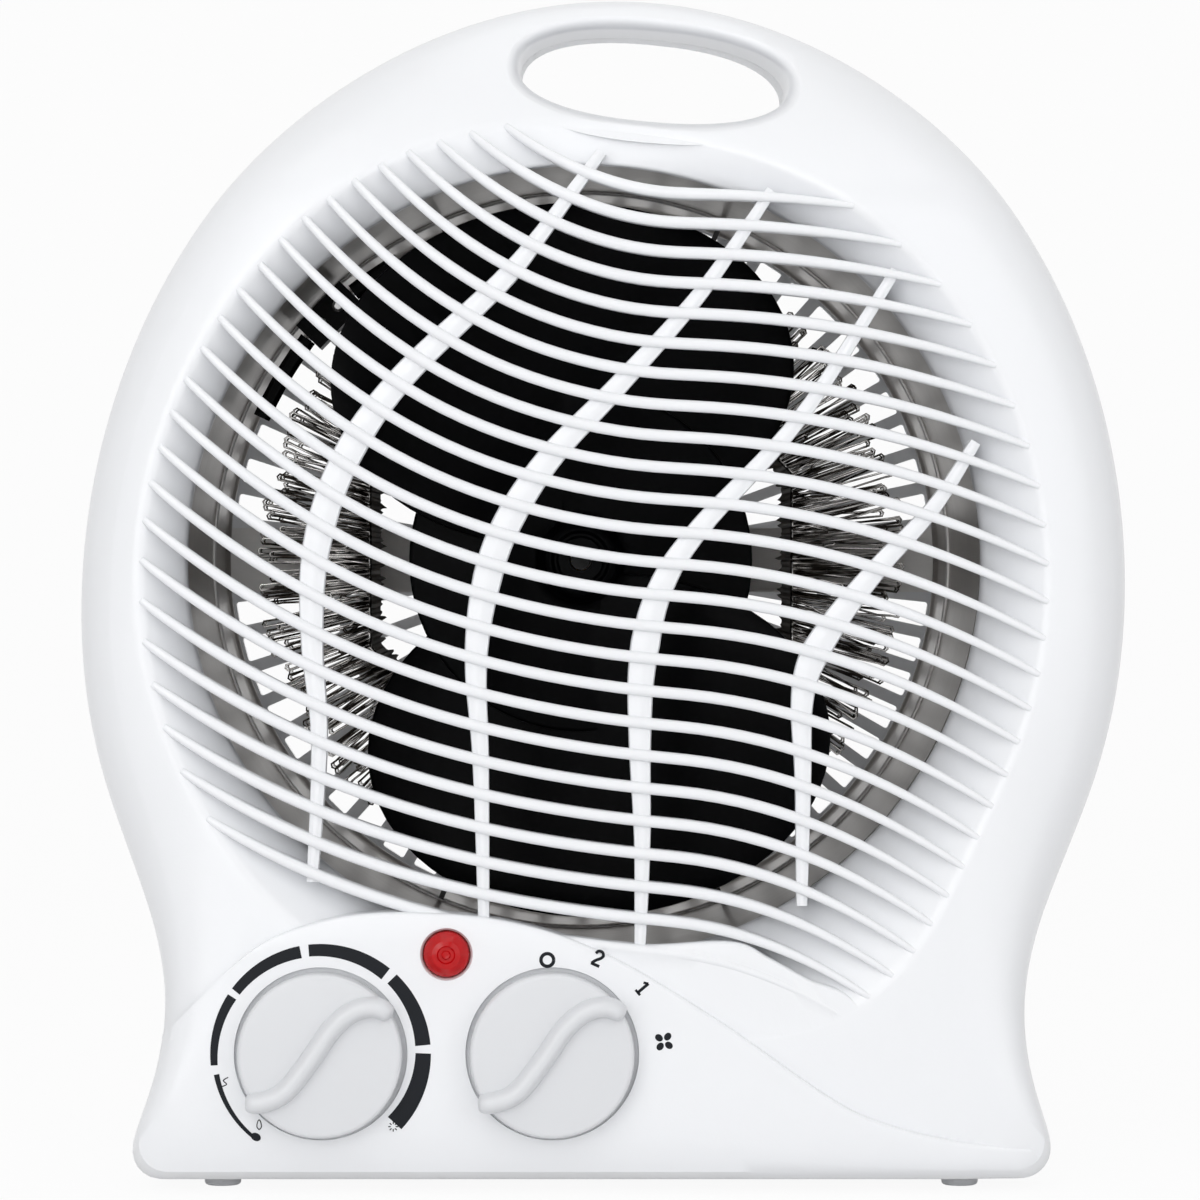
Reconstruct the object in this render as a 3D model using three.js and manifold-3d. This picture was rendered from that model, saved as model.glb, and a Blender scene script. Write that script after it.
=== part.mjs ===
// A free-standing 2 kW fan heater: a round-topped plastic body in two shells, with a swept grille over a
// metal air duct, a two-paddle fan, two hairpin heating windings, a motor, two dials and a lamp.
// Lengths are in millimetres. X runs to the right, the front faces -Y and Z points up.
import * as THREE from "three";
import { mergeVertices } from "three/addons/utils/BufferGeometryUtils.js";
import Module from "manifold-3d";

const wasm = await Module();
wasm.setup();

// Grille opening, which the body is built round
const openingRadius = 80.7;
const openingFloor = 46.9;
const openingX = -3.25;
const openingSetBack = 10.5;
const openingHeight = openingFloor + openingRadius;

// Overall body: margins round the opening, and depths to each side of the parting plane
const crownHeight = 36.7;
const sideMargin = 26.8;
const widestDrop = 7.6;
const waistInset = 19.7;
const waistHeight = 36;
const baseInset = 14.1;
const overallHeight = openingHeight + openingRadius + crownHeight;
const widestHalfWidth = openingRadius + sideMargin;
const widestHeight = openingHeight - widestDrop;
const waistHalfWidth = widestHalfWidth - waistInset;
const baseHalfWidth = widestHalfWidth - baseInset;
const baseCornerRadius = 6;
const frontDepth = 56;
const rearDepth = 60;
const handleFrontDepth = 26;
const handleRearDepth = 16;
const crownFall = 47;
const depthFallStart = overallHeight - crownFall;
const topLean = 5;
const baseShift = 1.8;
const wall = 2.4;
const partingGap = 0.3;
const clearance = 0.3;
const overrun = 12;
const edgePower = 8;
const baseEdgePower = 20;
const boxyHeight = 75;

// Grille in the front shell
const openingDepth = frontDepth - openingSetBack;
const lipThickness = 2.2;
const recessWidth = 11;
const tipCircleShift = 2.05;
const tipCircleDrop = 3.6;
const tipCircleRadius = openingRadius + recessWidth;
const tipCircleX = openingX + tipCircleShift;
const tipCircleHeight = openingHeight - tipCircleDrop;
const lowerRightReach = 9;
const firstFinDrop = 3.4;
const firstFinHeight = tipCircleHeight + tipCircleRadius - firstFinDrop;
const lastFinRise = 3.6;
const finPitch = 6.47;
const finCount = Math.floor((firstFinHeight - openingFloor - lastFinRise) / finPitch) + 1;
const finThickness = 2.1;
const finTipThickness = 0.7;
const finTaperLength = 22;
const finDepth = 8;
const finProud = 0.3;
const finSeat = 1;
const finLeftBendRadius = 110;
const finRightBendRadius = 165;
const finRightBendStart = 10;
const ribThickness = 5.4;
const ribEndThickness = 2.8;
const ribDepth = 6.4;
const ribSetBack = 1.2;

// Handle opening
const handleX = 11;
const handleDrop = 17.1;
const handleHeight = overallHeight - handleDrop;
const handleHalfLength = 27.9;
const handleHalfHeight = 10.2;
const handleFlare = 2.4;
const handleFlareDepth = 7;
const handleWall = 2;
const handleTilt = 5.5 * (Math.PI / 180);

// Control panel
const panelRaise = 2.2;
const panelEdgeDepth = 9;
const dialHeight = 28.6;
const thermostatX = -56.2;
const selectorX = -9.6;
const knobRadius = 16.5;
const knobHeight = 6.6;
const knobWall = 1.7;
const knobGap = 0.9;
const knobHubRadius = 5.2;
const knobRecessDepth = 1.6;
const ridgeHeight = 3.4;
const ridgeWidth = 3.4;
const spindleRadius = 3;
const lampX = -30.9;
const lampHeight = 48.7;
const lampRadius = 4.6;
const lampDome = 2.2;
const lampFlange = 0.9;
const lampBodyRadius = 3.4;
const lampBodyLength = 20;

// Switch and thermostat behind the panel
const switchWidth = 28;
const switchHeight = 30;
const switchDepth = 19;
const thermostatWidth = 24;
const thermostatHeight = 28;
const thermostatDepth = 14;
const bimetalLength = 30;
const bimetalWidth = 7;
const bimetalThickness = 0.8;
const controlScrewOffset = 10;

// Feet
const footHeight = 2.2;
const footRadius = 3.75;
const footStemRadius = 1.9;
const footStemLength = 5.5;
const footSideInset = 17.9;
const footSpacingX = (baseHalfWidth - footSideInset) * 2;
const footInset = 18;
const footBossRadius = 5;

// Air duct
const axisShift = 0.75;
const axisRise = 0.4;
const axisX = openingX - axisShift;
const axisHeight = openingHeight + axisRise;
const ductInset = 2.7;
const ductRadius = openingRadius - ductInset;
const ductThickness = 0.8;
const ductFrontGap = 0.5;
const ductFront = lipThickness + ductFrontGap - openingDepth;
const ductRear = 37;
const ductBead = 1.4;
const earWidth = 12;
const earReach = 12;
const earPostRadius = 4.5;

// Fan
const fanTipGap = 4;
const fanRadius = ductRadius - fanTipGap;
const fanSetBack = 29;
const fanCentreDepth = frontDepth - fanSetBack;
const paddleHalfWidth = 48;
const paddleThickness = 1.8;
const paddleRootRadius = 3;
const hubDiscRadius = 35.5;
const hubDiscThickness = 2.4;
const hubRadius = 9;
const hubLength = 17;
const shaftRadius = 2;
const shaftNose = 12.4;
const shaftFront = -fanCentreDepth - shaftNose;
const shaftRear = 36;
const fanNutRadius = 4.6;
const fanNutThickness = 2.4;
const fanRestTurn = 5 * (Math.PI / 180);

// Heating element
const elementMotorGap = 5.5;
const elementFanGap = 16;
const coreFront = 12;
const elementRear = coreFront - elementMotorGap;
const elementFront = elementFanGap - fanCentreDepth;
const loopWallGap = 11;
const loopTipRadius = ductRadius - loopWallGap;
const loopReach = 23;
const coreApothem = loopTipRadius - loopReach;
const coreThickness = 1.2;
const loopCount = 24;
const loopTurnRadius = 1.8;
const wireRadius = 0.4;
const wireWaviness = 1.3;
const lowWireInset = 2.1;
const highWireInset = 6;
const lowWireDepth = elementRear - lowWireInset;
const highWireDepth = elementFront + highWireInset;
const armWidth = 3.2;
const armThickness = 1.1;
const armAngles = [67.5, 112.5, 247.5, 292.5].map((turn) => (turn * Math.PI) / 180);

// Thermal cut-out
const cutoutWidth = 13;
const cutoutHeight = 7;
const cutoutLength = 9;
const cutoutSetForward = 2;
const cutoutFront = elementFront - cutoutSetForward;
const rivetRadius = 1.3;
const rivetHeight = 0.9;
const sleeveRadius = 1.8;
const longLeadSweep = 15 * (Math.PI / 180);
const shortLeadSweep = 9 * (Math.PI / 180);

// Motor
const coreDepth = 18;
const coreHalfWidth = 22;
const coreTop = 19;
const coreBottom = 40;
const coreLeg = 8;
const rotorRadius = 12;
const airGap = 0.5;
const coilLength = 22;
const coilThickness = 4.6;
const bracketThickness = 1.5;
const bracketWidth = 12;
const bracketEyeWall = 2.5;
const bearingRadius = 5;
const bearingLength = 5;
const strapWidth = 14;
const strapThickness = 1.6;
const standoffRadius = 3;

// Screws
const screwRadius = 1.45;
const screwHeadRadius = 2.9;
const screwHeadHeight = 2.2;
const shellScrewLength = 18;
const shortScrewLength = 8;
const bossRadius = 4.2;
const shellScrewSeat = 8;

// Rear intake grille
const intakeSlotCount = 24;
const intakeInnerRadius = 32;
const intakeInset = 1;
const intakeOuterRadius = ductRadius - intakeInset;
const intakeBar = 4.4;

// Cord inlet and terminals
const inletX = 62;
const inletHeight = 19;
const inletRadius = 3.4;
const inletNeckRadius = 5;
const inletFlangeRadius = 7;
const inletSeat = 8;
const inletFlangeThickness = 1.6;
const terminalWidth = 34;
const terminalHeight = 10;
const terminalDepth = 14;
const terminalX = 38;

// Point tables, each a share of the size that it follows
const smallShare = 1e-9;
const depthLevelShares = [0, 0.6, 0.84, 0.94];
const faceRingShares = { front: [0.6, 0.25], rear: [0.88, 0.74], rearInside: [0.7] };
const insideLevelShares = [0, 0.7, 0.93];
const ribPathShares = [
  [[0.045, 1.03], [-0.21, 0.697], [-0.46, 0.455], [-0.665, 0.055], [-0.66, -0.445], [-0.68, -0.8]],
  [[0.47, 0.93], [0.29, 0.665], [0.04, 0.4], [-0.16, 0.13], [-0.272, -0.345], [-0.25, -0.92]],
  [[0.78, 0.73], [0.54, 0.36], [0.29, 0.085], [0.19, -0.07], [0.14, -0.345], [0.14, -0.98]],
  [[0.98, 0.3], [0.79, 0.035], [0.585, -0.232], [0.555, -0.345], [0.545, -0.86]],
];
// The raised edge of the control panel, in shares of the base's half width
const panelEdgeShares = [
  [-0.925, 0.2], [-0.881, 0.385], [-0.758, 0.524], [-0.627, 0.586], [-0.463, 0.611],
  [-0.22, 0.596], [0, 0.528], [0.245, 0.385], [0.491, 0.215], [0.612, 0.156], [0.775, 0.116],
  [0.93, 0.1],
];
// The edge of the shoulder that closes the opening below the last fins, in the same shares
const shoulderEdgeShares = [
  [-0.2, 0.54], [0.1, 0.54], [0.286, 0.547], [0.367, 0.511], [0.448, 0.467], [0.555, 0.41],
  [0.64, 0.2],
];
// The shell screws, in shares of the widest half width and of the overall height
const shellScrewShares = [
  [-0.5, 0.895], [0.54, 0.895], [-0.735, 0.061], [0.707, 0.061],
];
// A knob's raised ridge, in shares of the knob's radius
const ridgePathShares = [[-0.8, -0.6], [-0.5, -0.5], [-0.12, 0.02], [0.3, 0.5], [0.84, 0.52]];

// Finishes
const finish = (color, roughness, metalness = 0) =>
  new THREE.MeshStandardMaterial({ color, roughness, metalness });
const whitePlastic = finish(0xf3f4f7, 0.32);
const knobPlastic = finish(0xe6e8eb, 0.35);
const greyRubber = finish(0xdadde0, 0.55);
const blackPlastic = finish(0x0b0c0e, 0.5);
const bakelite = finish(0x16130f, 0.45);
const aluminium = finish(0xc9c9cc, 0.22, 1);
const steel = finish(0xb4b6ba, 0.35, 1);
const lamination = finish(0x6d6f73, 0.5, 1);
const nichrome = finish(0x5a544e, 0.38, 1);
const mica = finish(0x1d1b19, 0.6);
const copper = finish(0xa8572a, 0.4, 1);
const bronze = finish(0x9a7442, 0.4, 1);
const redLens = finish(0xc0101c, 0.15);
const clearGlass = finish(0xe9d9c8, 0.15);

// Basic shapes and joins

// Turns the faces of a closed geometry outwards and leaves only merged positions.
function outward(geometry) {
  const plain = new THREE.BufferGeometry();
  plain.setAttribute("position", geometry.getAttribute("position").clone());
  if (geometry.index) plain.setIndex(geometry.index.clone());
  const merged = mergeVertices(plain, wireRadius / 1000);
  const corner = [new THREE.Vector3(), new THREE.Vector3(), new THREE.Vector3()];
  const index = merged.index.array;
  const place = merged.getAttribute("position");
  let volume = 0;
  for (let i = 0; i < index.length; i += 3) {
    corner.forEach((c, k) => c.fromBufferAttribute(place, index[i + k]));
    volume += corner[0].dot(corner[1].cross(corner[2]));
  }
  if (volume < 0) merged.setIndex([...index].reverse());
  return merged;
}

function solidOf(geometry) {
  const merged = outward(geometry);
  const mesh = new wasm.Mesh({
    numProp: 3,
    vertProperties: new Float32Array(merged.getAttribute("position").array),
    triVerts: new Uint32Array(merged.index.array),
  });
  return new wasm.Manifold(mesh);
}

function geometryOf(solid) {
  const mesh = solid.getMesh();
  const geometry = new THREE.BufferGeometry();
  const count = mesh.vertProperties.length / mesh.numProp;
  const places = new Float32Array(count * 3);
  for (let i = 0; i < count; i++) {
    places.set(mesh.vertProperties.subarray(i * mesh.numProp, i * mesh.numProp + 3), i * 3);
  }
  geometry.setAttribute("position", new THREE.BufferAttribute(places, 3));
  geometry.setIndex(new THREE.BufferAttribute(new Uint32Array(mesh.triVerts), 1));
  return geometry;
}

const joined = (solids) => solids.reduce((whole, next) => whole.add(next));

// A solid through rings that hold the same number of points: closed on itself, or capped at both ends.
function ringGeometry(rings, closesOnItself = false) {
  const size = rings[0].length;
  const points = rings.flat();
  const faces = [];
  const last = closesOnItself ? rings.length : rings.length - 1;
  for (let r = 0; r < last; r++) {
    const next = (r + 1) % rings.length;
    for (let i = 0; i < size; i++) {
      const j = (i + 1) % size;
      faces.push(r * size + i, r * size + j, next * size + i);
      faces.push(r * size + j, next * size + j, next * size + i);
    }
  }
  if (!closesOnItself) {
    [0, rings.length - 1].forEach((r, end) => {
      const middle = new THREE.Vector3();
      rings[r].forEach((p) => middle.addScaledVector(p, 1 / size));
      points.push(middle);
      for (let i = 0; i < size; i++) {
        const pair = [r * size + i, r * size + ((i + 1) % size)];
        if (end === 0) pair.reverse();
        faces.push(pair[0], pair[1], points.length - 1);
      }
    });
  }
  return new THREE.BufferGeometry().setFromPoints(points).setIndex(faces);
}

const box = (x, y, z) => new THREE.BoxGeometry(x, y, z);

const boxSolid = (size, place) => solidOf(box(...size).translate(...place));

// A solid turned about a line that runs from front to back; each profile point is radius and depth.
function turned(profile, sides, x = 0, z = 0) {
  const points = profile.map(([radius, y]) => new THREE.Vector2(radius, y));
  return new THREE.LatheGeometry(points, sides).translate(x, 0, z);
}

const rod = (radius, from, to, sides, x = 0, z = 0) =>
  turned([[0, from], [radius, from], [radius, to], [0, to]], sides, x, z);

const sleeve = (inner, outer, from, to, sides, x = 0, z = 0) =>
  turned([[inner, from], [outer, from], [outer, to], [inner, to], [inner, from]], sides, x, z);

// A flat outline in the front view, thickened from one depth to another.
function plate(shape, from, to, curveSegments = 12) {
  const geometry = new THREE.ExtrudeGeometry(shape, {
    depth: to - from,
    bevelEnabled: false,
    curveSegments,
  });
  return geometry.rotateX(Math.PI / 2).translate(0, to, 0);
}

// A round tube through points that never run straight from front to back.
function wire(points, radius, sides) {
  const rings = points.map((p, i) => {
    const ahead = points[Math.min(i + 1, points.length - 1)];
    const behind = points[Math.max(i - 1, 0)];
    const along = ahead.clone().sub(behind).normalize();
    const depth = new THREE.Vector3(0, 1, 0).addScaledVector(along, -along.y).normalize();
    const across = new THREE.Vector3().crossVectors(depth, along);
    return Array.from({ length: sides }, (_, k) => {
      const turn = (2 * Math.PI * (k + 0.5)) / sides;
      return p
        .clone()
        .addScaledVector(depth, radius * Math.cos(turn))
        .addScaledVector(across, radius * Math.sin(turn));
    });
  });
  return ringGeometry(rings);
}

// Outline and skin of the body

const bodyX = (height) => (topLean * height) / overallHeight - baseShift;
const skinCentre = new THREE.Vector2(bodyX(widestHeight), widestHeight);

// The body's outline from the front, moved in by a wall where one is given.
function bodyOutline(inset = 0) {
  const right = [];
  const topRise = overallHeight - widestHeight;
  for (let i = 0; i < 11; i++) {
    const turn = (Math.PI / 2) * (1 - i / 11);
    right.push([widestHalfWidth * Math.cos(turn), widestHeight + topRise * Math.sin(turn)]);
  }
  const side = new THREE.CubicBezierCurve(
    new THREE.Vector2(widestHalfWidth, widestHeight),
    new THREE.Vector2(widestHalfWidth, widestHeight - (widestHeight - waistHeight) * 0.52),
    new THREE.Vector2(waistHalfWidth, waistHeight + (widestHeight - waistHeight) * 0.29),
    new THREE.Vector2(waistHalfWidth, waistHeight),
  );
  side.getPoints(5).forEach((p) => right.push([p.x, p.y]));
  const cornerTop = footHeight + baseCornerRadius;
  const flare = new THREE.CubicBezierCurve(
    new THREE.Vector2(waistHalfWidth, waistHeight),
    new THREE.Vector2(waistHalfWidth, waistHeight - (waistHeight - cornerTop) * 0.53),
    new THREE.Vector2(baseHalfWidth, cornerTop + (waistHeight - cornerTop) * 0.19),
    new THREE.Vector2(baseHalfWidth, cornerTop),
  );
  flare.getPoints(3).slice(1).forEach((p) => right.push([p.x, p.y]));
  for (let i = 1; i <= 2; i++) {
    const turn = (i * Math.PI) / 4;
    const reach = baseCornerRadius * (1 - Math.cos(turn));
    right.push([baseHalfWidth - reach, cornerTop - baseCornerRadius * Math.sin(turn)]);
  }
  for (let i = 1; i < 4; i++) {
    right.push([(baseHalfWidth - baseCornerRadius) * (1 - i / 4), footHeight]);
  }
  const left = right.slice(1).reverse().map(([x, z]) => [-x, z]);
  const all = [...right, [0, footHeight], ...left].map(
    ([x, z]) => new THREE.Vector2(x + bodyX(z), z),
  );
  return all.map((p, i) => {
    const ahead = all[(i + 1) % all.length];
    const behind = all[(i + all.length - 1) % all.length];
    const along = ahead.clone().sub(behind).normalize();
    return new THREE.Vector2(p.x + along.y * inset, p.y - along.x * inset);
  });
}

// Where the outline lies in the direction of a place: its distance from the centre, and its height.
function outlineHit(outline, x, z) {
  const ray = new THREE.Vector2(x, z).sub(skinCentre);
  for (let i = 0; i < outline.length; i++) {
    const from = outline[i].clone().sub(skinCentre);
    const to = outline[(i + 1) % outline.length].clone().sub(skinCentre);
    const edge = to.clone().sub(from);
    const across = ray.cross(edge);
    const share = from.cross(ray) / across;
    const scale = from.cross(edge) / across;
    if (share > -smallShare && share < 1 + smallShare && scale > 0) {
      return { reach: scale * ray.length(), height: skinCentre.y + scale * ray.y };
    }
  }
  return { reach: Infinity, height: skinCentre.y };
}

// How squarely the skin turns into the edge: softly at the top and sides, tightly at the base.
function roundingPower(height) {
  const share = Math.min(Math.max((boxyHeight - height) / (boxyHeight - footHeight), 0), 1);
  return edgePower + (baseEdgePower - edgePower) * (0.5 - 0.5 * Math.cos(Math.PI * share));
}

const rounding = (share, power) => (1 - share ** power) ** (1 / power);

const depthFall = (height) => {
  const share = (height - depthFallStart) / (overallHeight - depthFallStart);
  return 0.5 + 0.5 * Math.cos(Math.PI * Math.min(Math.max(share, 0), 1));
};

const fullDepth = (side, height) =>
  side.handle + (side.base - side.handle) * depthFall(height);

const front = { sign: -1, base: frontDepth, handle: handleFrontDepth, shares: faceRingShares.front };
const rear = { sign: 1, base: rearDepth, handle: handleRearDepth, shares: faceRingShares.rear };
const outerOutline = bodyOutline();
const innerOutline = bodyOutline(wall);

// The depth of a side's skin at a place in the front view.
function skinDepth(side, x, z, inset = 0, raise = 0) {
  const outline = inset > 0 ? innerOutline : outerOutline;
  const { reach, height } = outlineHit(outline, x, z);
  const share = Math.min(Math.hypot(x - skinCentre.x, z - skinCentre.y) / reach, 1);
  const depth = fullDepth(side, z) - inset + raise;
  return side.sign * depth * rounding(share, roundingPower(height));
}

// One ring of a skin, where the skin reaches a share of its full depth.
function levelRing(side, level, inset = 0, raise = 0) {
  const outline = inset > 0 ? innerOutline : outerOutline;
  return outline.map((p) => {
    const share = rounding(level, roundingPower(p.y));
    const x = skinCentre.x + (p.x - skinCentre.x) * share;
    const z = skinCentre.y + (p.y - skinCentre.y) * share;
    const depth = (fullDepth(side, z) - inset + raise) * level;
    return new THREE.Vector3(x, side.sign * Math.max(depth, partingGap / 2), z);
  });
}

// The rings of a side's face inside an edge ring, which follow its fall towards the handle.
function faceRings(side, edge, inset = 0, raise = 0, shares = side.shares) {
  return shares.map((share) =>
    edge.map((p) => {
      const x = skinCentre.x + (p.x - skinCentre.x) * share;
      const z = skinCentre.y + (p.z - skinCentre.y) * share;
      return new THREE.Vector3(x, skinDepth(side, x, z, inset, raise), z);
    }),
  );
}

// A side filled solid up to its skin, for trimming what is joined to it.
function filledSide(side, inset = 0, raise = 0) {
  const rings = depthLevelShares.map((level) => levelRing(side, level, inset, raise));
  const edge = rings[rings.length - 1];
  return solidOf(ringGeometry([...rings, ...faceRings(side, edge, inset, raise)]));
}

// Grille

// The circle of the fin tips, which reaches further at the lower right.
function tipRadius(angle) {
  const lowerRight = (-58 * Math.PI) / 180;
  const width = (18 * Math.PI) / 180;
  return tipCircleRadius + lowerRightReach * Math.exp(-(((angle - lowerRight) / width) ** 2));
}

const outlineAngles = outerOutline.map((p) =>
  Math.atan2(p.y - skinCentre.y, p.x - skinCentre.x),
);

const tipRing = (inset, wider) =>
  outlineAngles.map((angle) => {
    const radius = tipRadius(angle) + wider;
    const x = tipCircleX + radius * Math.cos(angle);
    const z = tipCircleHeight + radius * Math.sin(angle);
    return new THREE.Vector3(x, skinDepth(front, x, z, inset), z);
  });

const rimRing = (depth, wider) =>
  outlineAngles.map((angle) => {
    const radius = openingRadius + wider;
    const x = openingX + radius * Math.cos(angle);
    return new THREE.Vector3(x, -depth, openingHeight + radius * Math.sin(angle));
  });

// How far a place lies inside the tip circle and outside the opening.
function recessPlace(x, z) {
  const angle = Math.atan2(z - tipCircleHeight, x - tipCircleX);
  const inside = tipRadius(angle) - Math.hypot(x - tipCircleX, z - tipCircleHeight);
  const outside = Math.hypot(x - openingX, z - openingHeight) - openingRadius;
  return { inside, outside };
}

// The depth of the sloped wall between the fin tips and the opening.
function recessDepth(x, z) {
  const { inside, outside } = recessPlace(x, z);
  const face = skinDepth(front, x, z);
  if (outside <= 0) return -openingDepth;
  const share = inside / (inside + outside);
  return face + (-openingDepth - face) * share;
}

// The height of a fin's middle line at a place, for the fin that crosses X = 0 at a given height.
function finHeight(start, x) {
  const level = (start - tipCircleHeight) / tipCircleRadius;
  if (x < 0) {
    const slope = 0.13 + 0.15 * Math.exp(2.36 * (level - 0.68));
    return start - slope * x + (x * x * Math.exp(1.06 * level)) / (2 * finLeftBendRadius);
  }
  const bent = Math.max(0, x - finRightBendStart);
  return start - 0.065 * x - (bent * bent * Math.exp(-1.06 * level)) / (2 * finRightBendRadius);
}

// Where a fin meets the tip circle, on the left or on the right.
function finTip(start, direction) {
  const step = finThickness / 4;
  let x = direction * step;
  while (recessPlace(x, finHeight(start, x)).inside > 0) x += direction * step;
  return x;
}

// A blade along a line in the front view: stations hold place, width, and front and back depth.
function bladeSolid(stations) {
  const rings = stations.map((s, i) => {
    const ahead = stations[Math.min(i + 1, stations.length - 1)];
    const behind = stations[Math.max(i - 1, 0)];
    const along = new THREE.Vector2(ahead.x - behind.x, ahead.z - behind.z).normalize();
    const reach = s.width / 2;
    const side = (share, y) =>
      new THREE.Vector3(s.x - along.y * reach * share, y, s.z + along.x * reach * share);
    return [side(1, s.front), side(-1, s.front), side(-1, s.back), side(1, s.back)];
  });
  return solidOf(ringGeometry(rings));
}

function fin(start) {
  const left = finTip(start, -1);
  const right = finTip(start, 1);
  const stations = [];
  const steps = 6;
  for (let i = 0; i <= steps; i++) {
    const x = left + ((right - left) * i) / steps;
    const z = finHeight(start, x);
    const toTip = Math.max(Math.min(x - left, right - x), 0);
    const taper = Math.min(1, toTip / finTaperLength);
    const face = skinDepth(front, x, z);
    const back = Math.min(face + finDepth, recessDepth(x, z) + finSeat);
    stations.push({
      x,
      z,
      width: finTipThickness + (finThickness - finTipThickness) * Math.sqrt(taper),
      front: face - finProud,
      back: recessPlace(x, z).outside < 0 ? face + finDepth : back,
    });
  }
  return bladeSolid(stations);
}

function rib(shares) {
  const path = new THREE.SplineCurve(
    shares.map(
      ([x, z]) =>
        new THREE.Vector2(openingX + x * openingRadius, openingHeight + z * openingRadius),
    ),
  );
  const steps = 6;
  const stations = path.getSpacedPoints(steps).map((p, i) => {
    const face = skinDepth(front, p.x, p.y);
    const toEnd = Math.min(i, steps - i) / 2;
    return {
      x: p.x,
      z: p.y,
      width: ribEndThickness + (ribThickness - ribEndThickness) * Math.min(1, toEnd),
      front: face + ribSetBack,
      back: face + ribSetBack + ribDepth,
    };
  });
  return bladeSolid(stations);
}

// Handle opening

function handleOutline(grow) {
  const points = [];
  const power = 2 / 2.3;
  for (let i = 0; i < 20; i++) {
    const turn = (i * Math.PI) / 10;
    const flat = (value) => Math.sign(value) * Math.abs(value) ** power;
    const x = (handleHalfLength + grow) * flat(Math.cos(turn));
    const z = (handleHalfHeight + grow) * flat(Math.sin(turn));
    points.push(new THREE.Vector2(x, z).rotateAround(new THREE.Vector2(), -handleTilt));
  }
  return points.map((p) => new THREE.Vector2(p.x + handleX, p.y + handleHeight));
}

const handleRing = (grow, y) =>
  handleOutline(grow).map((p) => new THREE.Vector3(p.x, y, p.y));

// The space of the handle opening in one side, with its rim flared by a smooth step.
function handleSpace(side) {
  const rings = [handleRing(0, -side.sign * overrun)];
  const middle = handleOutline(0);
  const skinAt = (p) => skinDepth(side, p.x, p.y);
  [0, 0.5, 1].forEach((share) => {
    const grow = handleFlare * share * share;
    const outline = handleOutline(grow);
    rings.push(
      outline.map((p, i) => {
        const rim = skinAt(middle[i]) - side.sign * handleFlareDepth * (1 - share);
        return new THREE.Vector3(p.x, rim, p.y);
      }),
    );
  });
  rings.push(handleOutline(handleFlare).map((p, i) => {
    return new THREE.Vector3(p.x, skinAt(middle[i]) + side.sign * overrun, p.y);
  }));
  return solidOf(ringGeometry(rings));
}

// The wall round the handle opening, trimmed to the side that carries it.
function handleTunnel(side, filled) {
  const near = (side.sign * partingGap) / 2;
  const far = side.sign * side.base;
  const grow = handleFlare + handleWall;
  return solidOf(ringGeometry([handleRing(grow, near), handleRing(grow, far)])).intersect(filled);
}

// Control panel

const panelPoint = ([x, z]) => new THREE.Vector2(x * baseHalfWidth, z * baseHalfWidth);

// A plate up to a raised skin, below an edge line, with a wall that runs back along the edge.
function raisedPlate(shares, raised, edgeDepth) {
  const edge = new THREE.SplineCurve(shares.map(panelPoint)).getPoints(shares.length);
  const low = footHeight + wall;
  const first = edge[0];
  const last = edge[edge.length - 1];
  const below = [new THREE.Vector2(last.x, low), new THREE.Vector2(first.x, low)];
  const sheet = solidOf(
    plate(new THREE.Shape([...edge, ...below]), -frontDepth - overrun, -skinInside - wall / 10),
  );
  const inner = edge.map((p, i) => {
    const ahead = edge[Math.min(i + 1, edge.length - 1)];
    const behind = edge[Math.max(i - 1, 0)];
    const along = ahead.clone().sub(behind).normalize();
    return new THREE.Vector2(p.x + along.y * wall, p.y - along.x * wall);
  });
  const band = solidOf(
    plate(new THREE.Shape([...edge, ...inner.reverse()]), -frontDepth - overrun, -frontDepth + edgeDepth),
  );
  return sheet.add(band).intersect(raised);
}

// Places that several pieces share

const shellScrewPlaces = shellScrewShares.map(([x, z]) => [
  x * widestHalfWidth,
  z * overallHeight,
]);
const footPlaces = [-1, 1].flatMap((sideways) =>
  [-1, 1].map((back) => [
    bodyX(0) + (sideways * footSpacingX) / 2,
    back < 0 ? footInset - frontDepth : rearDepth - footInset,
  ]),
);
const strapEarAngles = [0, Math.PI];
const earAngles = [...strapEarAngles, ...[270].map((turn) => (turn * Math.PI) / 180)];
const earRadius = ductRadius + ductThickness + earReach / 2;
const aroundAxis = (radius, angle) => [
  axisX + radius * Math.cos(angle),
  axisHeight + radius * Math.sin(angle),
];
const dials = [thermostatX, selectorX];
const panelFront = frontDepth + panelRaise;
const recessFloor = panelFront - knobRecessDepth;
const skinInside = frontDepth - wall;
const strapRear = ductRear + clearance + strapThickness;
const coreRear = coreFront + coreDepth;
const frontBracketFront = coreFront - clearance - bracketThickness;
const rearBracketFront = coreRear + clearance;
const motorScrewPlaces = [-1, 1].map((side) => [side * (coreHalfWidth - coreLeg / 2), 0]);

// Shells

const footBoss = ([x, y]) =>
  solidOf(
    new THREE.CylinderGeometry(footBossRadius, footBossRadius, footStemLength, 8)
      .rotateX(Math.PI / 2)
      .translate(x, y, footHeight + clearance + footStemLength / 2),
  );

const footHole = ([x, y]) =>
  solidOf(
    new THREE.CylinderGeometry(footStemRadius + clearance, footStemRadius + clearance, overrun * 2, 8)
      .rotateX(Math.PI / 2)
      .translate(x, y, footHeight),
  );

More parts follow.
